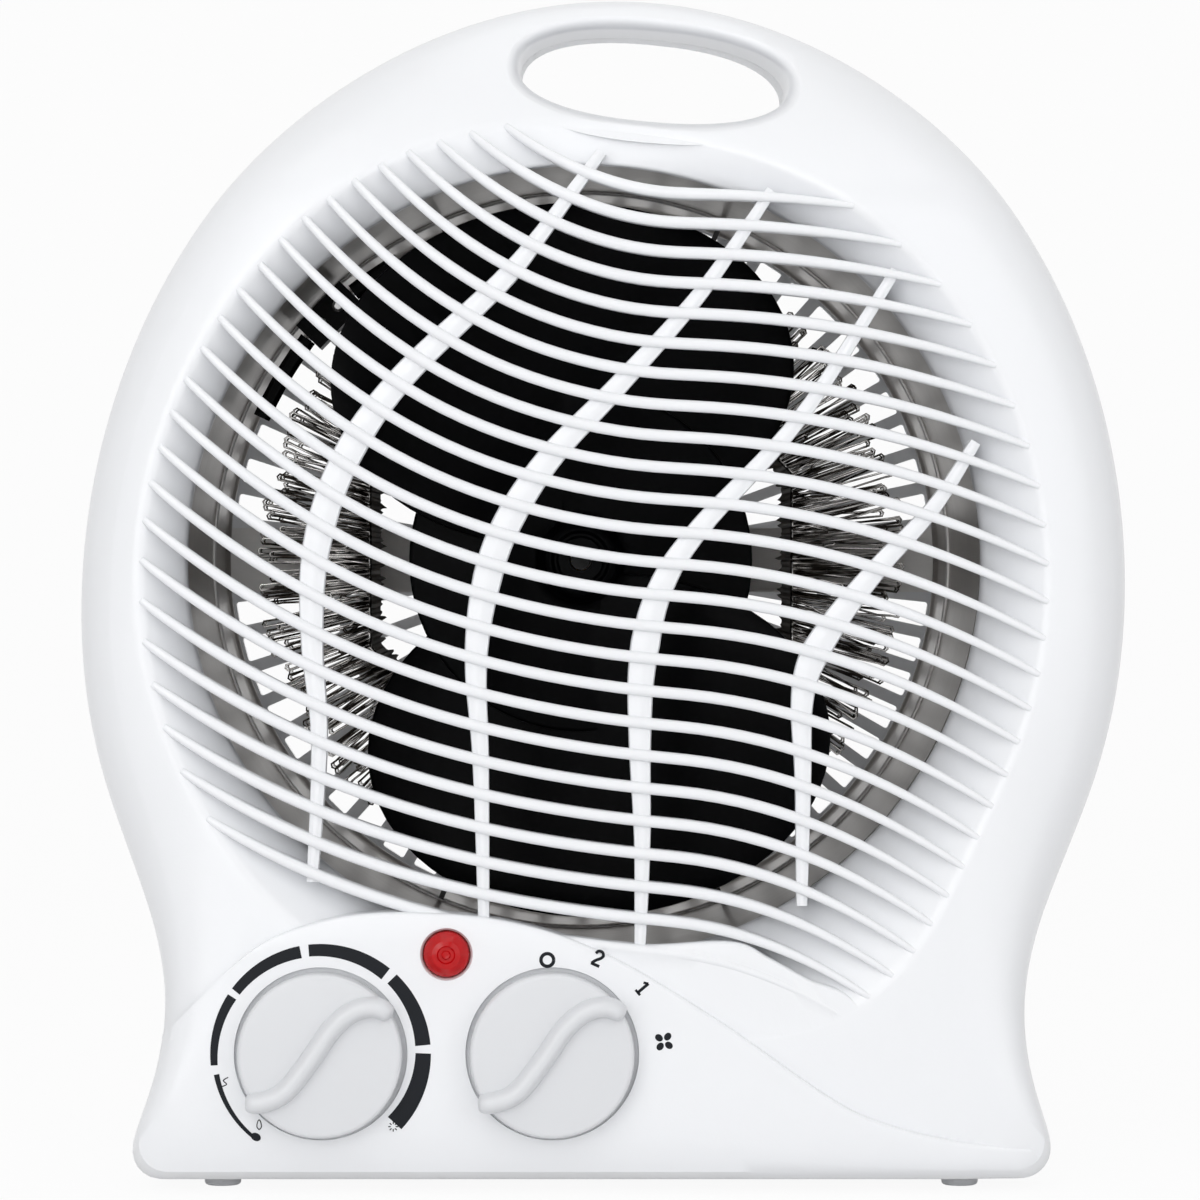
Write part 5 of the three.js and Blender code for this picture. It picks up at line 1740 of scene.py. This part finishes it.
    def spot(self, centre: Vector, radius: float, stretch: float = 1.0, turn: float = 0.0) -> Mesh:
        """A printed round or oval dot.

        Args:
            centre: The middle.
            radius: The outer radius.
            stretch: Its length by its width.
            turn: How far it is turned.

        Returns:
            The dot.
        """
        ring = []
        for step in range(20):
            angle = math.tau * step / 20
            place = Vector((math.cos(angle) * stretch, math.sin(angle))) * radius
            place.rotate(Matrix.Rotation(-turn, 2))
            ring.append(centre + place)
        low = [self.on_face(p.x, p.y, -self.print_depth) for p in ring]
        high = [self.on_face(p.x, p.y, self.print_depth) for p in ring]
        return sweep([low, high])

    def thermostat_marks(self) -> Mesh:
        """The growing temperature scale with its frost and sun signs.

        Returns:
            The print.
        """
        centre, radius = self.thermostat, self.scale_radius

        def place(degrees: float, share: float) -> Vector:
            """A place round the dial, at a share of the scale's radius."""
            turn = math.radians(degrees)
            return centre + Vector((math.cos(turn), math.sin(turn))) * radius * share

        thin, thick = self.fine_lines
        parts = [
            self.arc(centre, radius * share, start, end, widths)
            for share, start, end, widths in self.scale_arcs
        ]
        parts.append(self.spot(place(232, 0.955), self.scale_dot, 1.3, 0.5))
        wave = ((-0.5, -1), (0.35, -0.45), (-0.35, 0.15), (0.45, 0.85))
        parts.append(self.figure(place(196, 0.9), self.frost_size, math.radians(8), wave, thick))
        loop = ((0, -1), (0.45, -0.4), (0.3, 0.6), (0, 1), (-0.3, 0.6), (-0.45, -0.4), (0, -1))
        parts.append(self.figure(place(229, 0.85), self.drop_size, 0.0, loop, thin))
        sun = place(-45, 0.93)
        for ray in range(8):
            turn = math.tau * ray / 8
            out = Vector((math.cos(turn), math.sin(turn)))
            parts.append(self.stroke([sun + out * reach for reach in self.ray_span], self.fine_lines))
        return merged(parts)

    def selector_marks(self) -> Mesh:
        """The selector's four signs: off, high, low and fan only.

        Returns:
            The print.
        """
        centre = self.selector

        def spot(degrees: float, radius: float) -> Vector:
            """A place round the dial."""
            turn = math.radians(degrees)
            return centre + Vector((math.cos(turn), math.sin(turn))) * radius

        ring = [(math.cos(math.tau * step / 28), math.sin(math.tau * step / 28)) for step in range(29)]
        two = (
            (-0.55, 0.5), (-0.3, 0.92), (0.2, 0.98), (0.52, 0.6), (0.35, 0.15), (-0.2, -0.4), (-0.55, -0.95)
        )
        off, high, low, hub = (spot(degrees, radius) for degrees, radius in self.sign_places)
        high_turn, low_turn = math.radians(24), math.radians(50)
        line, thin = self.digit_line, self.serif_line
        parts = [
            self.figure(off, self.ring_size, 0.0, ring, self.ring_line, 1),
            self.figure(high, self.two_size, high_turn, two, line),
            self.figure(high, self.two_size, high_turn, ((-0.62, -0.95), (0.6, -0.95)), line, 1),
            self.figure(low, self.one_size, low_turn, ((0.12, 1), (0.12, -1)), line, 1),
            self.figure(low, self.one_size, low_turn, ((-0.45, 0.55), (0.12, 0.98)), thin, 1),
            self.figure(low, self.one_size, low_turn, ((-0.4, -1), (0.62, -1)), thin, 1),
        ]
        for petal in range(4):
            turn = math.radians(45 + 90 * petal + 8)
            out = Vector((math.cos(turn), math.sin(turn)))
            parts.append(self.spot(hub + out * self.petal_reach, self.petal_radius, 1.25, -turn))
        return merged(parts)

    def build(self, finishes: Finishes) -> None:
        """Builds the dials, the marks and the lens.

        Args:
            finishes: The heater's finishes.
        """
        for name, dial in (("thermostat", self.thermostat), ("selector", self.selector)):
            add_piece(
                f"{name}_dial_cap", self.knob(dial), finishes.knob, f"{name}_dial",
                [f"{name}_knob"],
                smooth=math.radians(50),
            )
            dress(f"{name}_spindle", finishes.steel)
            dress(f"{name}_housing", finishes.bakelite)
            for index in (1, 2):
                dress(f"{name}_screw_{index}", finishes.steel)
        dress("bimetal_strip", finishes.bronze)
        add_piece("thermostat_scale", self.thermostat_marks(), finishes.ink)
        add_piece("selector_signs", self.selector_marks(), finishes.ink)
        add_piece(
            "lamp_cover", self.lens(), finishes.lens, CASE, ["lamp_lens"], smooth=math.radians(12)
        )
        dress("lamp_body", finishes.lamp)


# Inside the duct


@dataclass
class Duct:
    """The rolled metal drum that the air runs through."""

    thickness: float = 0.0008
    bead: float = 0.0014
    bead_round: float = 0.0009
    bead_foot_round: float = 0.0004
    ring_round: float = 0.0012
    flare_round: float = 0.0003
    rear_round: float = 0.0002
    radius: float = 0.078
    flare: float = 0.0034
    ring: float = 0.004
    ear_width: float = 0.012
    ear_reach: float = 0.012
    ear_hole: float = 0.00175
    # two thin near-white rings that paint the highlight along the rolled bead: their pitch, the radius of
    # their section and how far they sink into the drum wall
    highlight_ring_pitch: float = 0.0016
    highlight_ring_radius: float = 0.0004
    highlight_ring_sink: float = 0.00005
    ear_cut: float = 0.002

    def build(self, finishes: Finishes, axis: Vector) -> None:
        """Builds the drum with its rolled beads and screw ears.

        Args:
            finishes: The heater's finishes.
            axis: A point on the duct's axis.
        """
        low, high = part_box("air_duct")
        front, rear = low.y, high.y
        inner, outer = self.radius, self.radius + self.thickness
        bead, flare, ring, cut = self.bead, self.flare, self.ring, self.ear_cut
        profile = softened(
            [(inner + flare, front, 0), (outer + flare, front + self.thickness, self.flare_round),
             (outer + bead / 2, ring, self.ring_round), (outer, rear, 0), (inner, rear, self.rear_round),
             (inner - bead, rear - bead, self.bead_round), (inner, rear - 2 * bead, self.bead_round),
             (inner, ring + 1.6 * bead, self.bead_foot_round), (inner + flare, front, 0)],
            4,
        )
        drum = lathe(profile, 180, Vector((axis.x, 0, axis.z)))
        ears = []
        for index in range(1, 4):
            middle = middle_of(f"duct_screw_{index}")
            away = Vector((middle.x - axis.x, 0, middle.z - axis.z)).normalized()
            reach = outer + self.ear_reach / 2 - self.thickness / 2
            centre = Vector((axis.x, rear - self.thickness / 2, axis.z)) + away * reach
            size = Vector((self.ear_reach if abs(away.x) > 0.5 else self.ear_width, self.thickness,
                           self.ear_reach if abs(away.z) > 0.5 else self.ear_width))
            hole = bar(self.ear_hole, (-cut, cut), 20, Vector((middle.x, centre.y, middle.z)))
            ears.append(joined(block(size, centre), [(Join.CUT, hole)]))
        add_piece(
            "air_drum", merged([drum, *ears]), finishes.duct, replaces=["air_duct"],
            smooth=math.radians(50),
        )
        # two thin near-white plated rings on the drum wall: a painted highlight for the light caught along
        # the rolled bead
        rings = []
        for depth in (ring, ring + self.highlight_ring_pitch):
            middle, wire = inner - self.highlight_ring_sink, self.highlight_ring_radius
            turns = [math.tau * step / 12 for step in range(13)]
            round_wire = [(middle + wire * math.cos(turn), depth + wire * math.sin(turn)) for turn in turns]
            rings.append(lathe(round_wire, 180, Vector((axis.x, 0, axis.z))))
        add_piece("bead_highlight_rings", merged(rings), finishes.plated)
        for index in range(1, 4):
            dress(f"duct_screw_{index}", finishes.steel)


@dataclass
class Fan:
    """The two-paddle fan and its nut, turned as the frame holds it at rest."""

    radius: float = 0.074
    root: float = 0.003
    paddle_half: float = 0.048
    paddle_thickness: float = 0.0018
    rest_turn: float = math.radians(-5)
    disc_radius: float = 0.0355
    disc_thickness: float = 0.0024
    hub_radius: float = 0.009
    hub_length: float = 0.017
    bore: float = 0.0023
    bore_sink: float = 0.001
    groove_depth: float = 0.0007
    groove_round: float = 0.0003
    groove_floor_round: float = 0.0002
    nose_round: float = 0.0012
    foot_round: float = 0.0015
    edge_round: float = 0.0008

    def paddle(self, axis: Vector, depth: float, direction: int) -> Mesh:
        """One broad oval paddle with rounded edges.

        Args:
            axis: A point on the duct's axis.
            depth: The depth of its middle.
            direction: 1 for one side, -1 for the other.

        Returns:
            The paddle.
        """
        middle = (self.radius + self.root) / 2
        reach = (self.radius - self.root) / 2
        turn = Matrix.Rotation(self.rest_turn, 3, "Y")

        def point(share: float, angle: float, side: float) -> Vector:
            """A point of the paddle's skin at a share of the way out and to one side of its middle."""
            along = middle + reach * share * math.sin(angle)
            across = self.paddle_half * share * math.cos(angle)
            slope = 0.26 - 0.1 * along / self.radius
            thickness = self.paddle_thickness * (0.72 + 0.28 * math.cos(math.pi / 2 * share))
            spot = Vector((direction * across, across * slope + side * thickness / 2, direction * along))
            return Vector((axis.x, depth, axis.z)) + turn @ spot

        face = [(0.0, 1), (0.3, 1), (0.6, 1), (0.85, 1), (0.985, 1), (0.996, 0.7)]
        layers = [(share, -side) for share, side in face] + [(1, 0)] + face[::-1]
        turns = [math.tau * step / 72 for step in range(72)]
        return bent_grid(72, len(layers) - 1, lambda c, r: point(layers[r][0], turns[c % 72], layers[r][1]))

    def build(self, finishes: Finishes, axis: Vector) -> None:
        """Builds the fan and the nut.

        Args:
            finishes: The heater's finishes.
            axis: A point on the duct's axis.
        """
        low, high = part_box("fan_impeller")
        depth = (low.y + high.y) / 2
        half, disc = self.hub_length / 2, self.disc_thickness / 2
        mouth = -half + self.bore_sink
        floor, foot, edge = self.groove_floor_round, self.foot_round, self.edge_round
        hub_radius, groove = self.hub_radius, -half + self.groove_depth
        profile = softened(
            [(self.bore, mouth, 0), (hub_radius * 0.5, -half, self.groove_round),
             (hub_radius * 0.54, groove, floor), (hub_radius * 0.62, groove, floor),
             (hub_radius * 0.66, -half, self.groove_round), (hub_radius * 0.82, -half, self.nose_round),
             (hub_radius, -disc, foot), (self.disc_radius, -disc, edge), (self.disc_radius, disc, edge),
             (hub_radius, disc, foot), (hub_radius, half, edge), (self.bore, half, 0),
             (self.bore, mouth, 0)],
            3,
        )
        centre = Vector((axis.x, depth, axis.z))
        hub = lathe(profile, 72, centre)
        parts = [(Join.ADD, self.paddle(axis, depth, 1)), (Join.ADD, self.paddle(axis, depth, -1))]
        parts.append((Join.CUT, bar(self.bore, (-half, half), 32, centre)))
        add_piece(
            "fan_wheel", joined(hub, parts), finishes.black, "fan_rotor", ["fan_impeller"],
            smooth=math.radians(45),
        )
        dress("fan_nut", finishes.black)
        dress("motor_shaft", finishes.dark_steel)
        dress("motor_rotor", finishes.steel)


@dataclass(frozen=True)
class LoopLayer:
    """One layer of hairpin loops: where it lies along the core, and how far its loops reach."""

    shift: float
    turn: float
    short_share: int
    seed: float


@dataclass
class Element:
    """The heating element: a jagged octagonal core with two brushes of hairpin loops, held by arms."""

    apothem: float = 0.044
    core_thickness: float = 0.0030
    tip_radius: float = 0.0685
    short_radius: float = 0.0558
    loops: int = 108
    wire_radius: float = 0.00024
    waviness: float = 0.0007
    length_change: float = 0.0045
    root_length: float = 0.0012
    loop_turn: float = 0.00062
    crossing_reach: float = 0.0022
    sleeve_wall: float = 0.0012
    sleeve_step: float = 0.0022
    notch_depth: float = 0.0009
    tooth_depth: float = 0.0006
    layers: tuple[LoopLayer, ...] = (
        LoopLayer(-0.0040, 0.0, 2, 0.3), LoopLayer(-0.0020, 0.36, 4, 1.9), LoopLayer(0.0, 0.14, 0, 3.1),
        LoopLayer(0.0020, 0.7, 0, 4.1), LoopLayer(0.0040, 0.55, 0, 5.3),
    )

    def core_reach(self, turn: float, apothem: float) -> float:
        """How far a face of the octagon lies from the axis in a direction."""
        eighth = math.pi / 4
        away = ((turn + eighth / 2) % eighth) - eighth / 2
        return apothem / math.cos(away)

    def core(self, axis: Vector) -> Mesh:
        """The octagonal sleeve, with worn teeth along the inner edge of its front.

        Args:
            axis: A point on the duct's axis.

        Returns:
            The sleeve.
        """
        low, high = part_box("element_core")
        columns = 8 * 90

        def place(column: int, row: int) -> Vector:
            """A point of the sleeve: outside front, outside rear, inside rear, inside front."""
            turn = math.tau * (column % columns) / columns
            tooth = (0.5 + 0.5 * math.sin(column * 1.7)) * (0.5 + 0.5 * math.sin(column * 0.61 + 1))
            notch = self.notch_depth if (column // 3) % 2 else 0.0
            outer, inner = self.apothem, self.apothem - self.sleeve_wall
            worn = self.apothem - self.core_thickness * (0.62 + 0.5 * tooth)
            levels = (outer, outer, inner, inner, worn)
            front = low.y + self.tooth_depth * tooth
            depths = (low.y + notch, high.y, high.y, low.y + self.sleeve_step, front)
            reach = self.core_reach(turn, levels[row % 5])
            return Vector((axis.x + reach * math.cos(turn), depths[row % 5], axis.z + reach * math.sin(turn)))

        return bent_grid(columns, 5, place)

    def layer(self, axis: Vector, depth: float, front: float, layer: LoopLayer) -> Mesh:
        """One unbroken wire in out and back loops all round the core.

        Args:
            axis: A point on the core's axis.
            depth: The middle depth of the winding.
            front: How far ahead of the middle the wire crosses over from one loop to the next.
            layer: Which layer of the winding.

        Returns:
            The wire.
        """
        pitch = math.tau / self.loops
        line: list[Vector] = []

        def add(radius: float, turn: float, wave: float) -> None:
            """Adds a point of the wire."""
            line.append(Vector((
                axis.x + radius * math.cos(turn), depth + layer.shift + wave, axis.z + radius * math.sin(turn)
            )))

        for index in range(self.loops):
            turn = (index + 0.5 + layer.turn) * pitch
            wander = math.sin(index * 2.4 + layer.seed) * 0.3 + math.sin(index * 5.3 + 1 + layer.seed) * 0.22
            side = math.sin(index * 1.9 + layer.seed * 3)
            short = layer.short_share and index % layer.short_share == 0
            reach = self.short_radius if short else self.tip_radius
            length = reach - self.length_change * (0.5 + 0.5 * math.sin(index * 3.7 + layer.seed * 5))
            spread = pitch / 4
            tip = self.loop_turn / self.tip_radius
            lean = pitch * wander
            start = self.core_reach(turn - spread, self.apothem) + self.wire_radius * 1.8
            end = self.core_reach(turn + spread, self.apothem) + self.wire_radius * 1.8
            wave = side * self.waviness
            add(start, turn - spread, -front * 0.5)
            add(start + self.root_length, turn - spread, 0)
            add((start + length) / 2, turn - spread * 0.9 + lean * 0.4, wave * 2)
            for back, side_share in ((2.4, -0.9), (0.6, -1.05), (0, 0), (0.6, 1.05), (2.4, 0.9)):
                add(length - self.loop_turn * back, turn + tip * side_share + lean, wave)
            add((end + length) / 2, turn + spread * 0.9 + lean * 0.4, -wave * 2)
            add(end + self.root_length, turn + spread, 0)
            add(end, turn + spread, -front * 0.5)
        return self.tube(line, self.wire_radius, 6)

    @staticmethod
    def tube(line: Sequence[Vector], radius: float, sides: int) -> Mesh:
        """A round wire along a line that never runs straight from front to back.

        Args:
            line: The line's points.
            radius: The wire's radius.
            sides: The number of its sides.

        Returns:
            The wire.
        """
        sections = []
        for _, spot, along in directions(line):
            up = (Vector((0, 1, 0)) - along * along.y).normalized()
            across = up.cross(along)
            sections.append([
                spot + radius * (
                    up * math.cos(math.tau * k / sides) + across * math.sin(math.tau * k / sides)
                )
                for k in range(sides)
            ])
        return sweep(sections)

    def build(self, finishes: Finishes, axis: Vector) -> None:
        """Builds the core and both windings.

        Args:
            finishes: The heater's finishes.
            axis: A point on the duct's axis.
        """
        add_piece("notched_core", self.core(axis), finishes.mica, CASE, ["element_core"], smooth=0.1)
        for name in ("low", "high"):
            low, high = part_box(f"heating_wire_{name}")
            depth = (low.y + high.y) / 2
            wires = [self.layer(axis, depth, self.crossing_reach, layer) for layer in self.layers]
            add_piece(
                f"{name}_heat_brush", merged(wires), finishes.wire, CASE,
                [f"heating_wire_{name}"],
                smooth=math.pi,
            )
        for index in range(1, 5):
            dress(f"element_arm_{index}", finishes.mica)


@dataclass
class Fittings:
    """The cut-out, the motor, the fasteners, the feet and the cord entry."""

    sole_height: float = 0.0022
    sole_round: float = 0.0002
    stem_round: float = 0.0006
    head_radius: float = 0.0029
    head_height: float = 0.0022
    head_edge: float = 0.0012
    thread_radius: float = 0.00145
    thread_point: float = 0.0015
    cross_length: float = 0.0034
    cross_width: float = 0.0007
    cross_depth: float = 0.0024

    def build_feet(self, finishes: Finishes) -> None:
        """Builds four soft feet with a rounded sole.

        Args:
            finishes: The heater's finishes.
        """
        for index in range(1, 5):
            low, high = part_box(f"foot_{index}")
            radius, sole = (high.x - low.x) / 2, self.sole_height
            profile = softened(
                [(0, 0, 0), (radius, 0, radius * 0.25), (radius, sole, self.sole_round),
                 (radius * 0.5, sole, 0), (radius * 0.5, high.z, self.stem_round), (0, high.z, 0)],
                5,
            )
            foot = lathe(profile, 48, Vector((0, 0, 0)))
            bmesh.ops.rotate(
                foot, cent=(0, 0, 0), matrix=Matrix.Rotation(math.pi / 2, 3, "X"), verts=foot.verts
            )
            middle = middle_of(f"foot_{index}")
            bmesh.ops.translate(foot, vec=Vector((middle.x, middle.y, 0)), verts=foot.verts)
            add_piece(f"soft_foot_{index}", foot, finishes.rubber, CASE, [f"foot_{index}"])

    def build_screws(self, finishes: Finishes) -> None:
        """Builds the shell screws with a cross recess in a domed head.

        Args:
            finishes: The heater's finishes.
        """
        for index in range(1, 5):
            low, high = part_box(f"shell_screw_{index}")
            middle = middle_of(f"shell_screw_{index}")
            head, thread, seat = self.head_radius, self.thread_radius, high.y - self.head_height
            profile = softened(
                [(0, high.y, 0), (head * 0.7, high.y, self.head_edge / 2),
                 (head, high.y - self.head_edge, self.head_edge / 4), (head, seat, 0), (thread, seat, 0),
                 (thread, low.y + self.thread_point, 0), (0, low.y, 0)],
                4,
            )
            screw = lathe(profile, 40, Vector((middle.x, 0, middle.z)))
            cuts = []
            long, wide, deep = self.cross_length, self.cross_width, self.cross_depth
            for size in (Vector((long, deep, wide)), Vector((wide, deep, long))):
                cuts.append((Join.CUT, block(size, Vector((middle.x, high.y, middle.z)))))
            whole = joined(screw, cuts)
            add_piece(f"cross_screw_{index}", whole, finishes.steel, CASE, [f"shell_screw_{index}"])

    def dress_rest(self, finishes: Finishes) -> None:
        """Gives the solids that stay in view their finishes.

        Args:
            finishes: The heater's finishes.
        """
        for node in ("thermal_cutout", "cutout_lead_long", "cutout_lead_short", "cord_bush"):
            dress(node, finishes.black)
        for node in ("cutout_rivet_1", "cutout_rivet_2", "motor_screw_1", "motor_screw_2"):
            dress(node, finishes.steel)
        for node in ("bracket_front", "bracket_rear", "motor_strap", "motor_standoff_1", "motor_standoff_2"):
            dress(node, finishes.plated)
        for node in ("bearing_1", "bearing_2"):
            dress(node, finishes.bronze)
        dress("motor_core", finishes.lamination)
        dress("motor_coil", finishes.copper)
        dress("terminal_block", finishes.terminal)


# Stage


@dataclass
class Stage:
    """A pale floor and backdrop, soft lamps and the camera of the photograph."""

    frame_pixels: int = 1200
    focal_pixels: float = 5184
    camera_distance: float = 1.1
    eye_height: float = 0.128
    eye_pixel: float = 560
    middle_x: float = -0.000649
    parting: float = 0.00345
    sensor: float = 36.0

    def camera(self) -> None:
        """Adds the camera, tipped down so that its eye level lies above the middle of the frame."""
        data = bpy.data.cameras.new("camera")
        data.sensor_width = self.sensor
        data.lens = self.sensor * self.focal_pixels / self.frame_pixels
        camera = linked("camera", data)
        camera.location = (self.middle_x, self.parting - self.camera_distance, self.eye_height)
        tip = math.atan((self.frame_pixels / 2 - self.eye_pixel) / self.focal_pixels)
        camera.rotation_euler = (math.pi / 2 - tip, 0, 0)
        bpy.context.scene.camera = camera

    def backdrop(self) -> None:
        """Adds a floor that curves up into a backdrop."""
        depth, back, height, half = -2.0, 1.6, 2.6, 3.0
        sweep_radius = 0.7
        line = [(depth, 0.0), (0.0, 0.0)]
        for step in range(13):
            turn = math.pi / 2 * step / 12
            line.append(
                (back - sweep_radius + sweep_radius * math.sin(turn), sweep_radius * (1 - math.cos(turn)))
            )
        line.append((back, height))
        mesh = bent_grid(2, len(line) - 1, lambda c, r: Vector(((c - 1) * half, line[r][0], line[r][1])))
        for face in mesh.faces:
            face.smooth = True
            if face.normal.z < -0.01 or face.normal.y > 0.5:
                face.normal_flip()
        data = stored(mesh, "backdrop")
        data.materials.append(self.paper())
        floor = linked("backdrop", data)

    @staticmethod
    def paper() -> bpy.types.Material:
        """White paper that shows near white to the camera and keeps a soft shadow.

        Returns:
            The material.
        """
        shader = Shader("paper")
        fine = shader.noise(60, 3)
        colour = shader.blend(fine, (0.86, 0.86, 0.865, 1), (0.88, 0.88, 0.885, 1))
        matt = shader.node("ShaderNodeBsdfDiffuse", None, {"Color": colour})
        glow = shader.node("ShaderNodeEmission", None, {"Color": (1, 1, 1, 1), "Strength": 1.0})
        rays = ("Is Camera Ray", "Is Glossy Ray", "Is Transmission Ray")
        camera, glossy, clear = (shader.node("ShaderNodeLightPath", output=ray) for ray in rays)
        seen = camera.most(glossy).most(clear)
        mixed = shader.node("ShaderNodeMixShader", None, {0: seen * 0.93, 1: matt, 2: glow})
        shader.node_output(mixed)
        return shader.material

    def lamps(self) -> None:
        """Adds large soft lamps round the camera, and a white world."""
        places = (
            ("key", (-0.5, -1.5, 1.2), 1.6, 7.2),
            ("fill", (1.0, -1.5, 0.5), 1.6, 6.8),
            ("top", (0.0, -0.2, 1.6), 1.4, 3.0),
            ("low", (-0.5, -1.5, 0.2), 1.2, 7.2),
        )
        for name, place, size, power in places:
            data = bpy.data.lights.new(name, "AREA")
            data.shape = "DISK"
            data.size = size
            data.energy = power
            lamp = linked(name, data)
            lamp.location = place
            aim = Vector((0, 0, 0.12)) - lamp.location
            lamp.rotation_euler = aim.to_track_quat("-Z", "Y").to_euler()
        self.sky()

    @staticmethod
    def sky() -> None:
        """Adds a world that is white to the camera, and to mirrored rays dim in front of the heater."""
        world = bpy.data.worlds.new("studio")
        world.use_nodes = True
        bpy.context.scene.world = world
        shader = Shader("studio", world.node_tree)
        direction = shader.node("ShaderNodeTexCoord", output="Generated")
        behind = shader.node("ShaderNodeSeparateXYZ", None, {"Vector": direction}, output="Y")
        inputs = {"Value": behind, "From Min": -0.8, "From Max": 0.25, "To Min": 0.4, "To Max": 1.0}
        mirrored = shader.node("ShaderNodeMapRange", None, inputs)
        rays = ("Is Camera Ray", "Is Glossy Ray", "Is Transmission Ray")
        camera, shiny, clear = (shader.node("ShaderNodeLightPath", output=ray) for ray in rays)
        plain = (shiny + clear).least(1)
        soft = plain * mirrored + (1 - plain) * 0.5
        strength = camera + (1 - camera) * soft
        glow = shader.node("ShaderNodeBackground", None, {"Color": (1, 1, 1, 1), "Strength": strength})
        end = shader.tree.nodes.new("ShaderNodeOutputWorld")
        shader.tree.links.new(glow.source, end.inputs["Surface"])

    def build(self) -> None:
        """Builds the stage and sets how colours are shown."""
        self.camera()
        self.backdrop()
        self.lamps()
        bpy.context.scene.view_settings.view_transform = "Standard"


def duct_axis() -> Vector:
    """A point on the axis of the duct, the fan and the motor."""
    middle = middle_of("motor_shaft")
    return Vector((middle.x, 0, middle.z))


def main() -> None:
    """Builds the whole heater and its stage."""
    logging.basicConfig(level=logging.INFO, format="%(name)s %(message)s")
    axis = duct_axis()
    finishes = Finishes(axis)
    shape = CaseShape()
    handle = HandleOpening(shape)
    controls = Controls(shape)
    FrontShell(shape, Grille(shape), handle).build(finishes, controls)
    RearShell(shape, handle).build(finishes, axis)
    controls.build(finishes)
    Duct().build(finishes, axis)
    Fan().build(finishes, axis)
    Element().build(finishes, axis)
    fittings = Fittings()
    fittings.build_feet(finishes)
    fittings.build_screws(finishes)
    fittings.dress_rest(finishes)
    Stage().build()


if __name__ == "__main__":
    main()
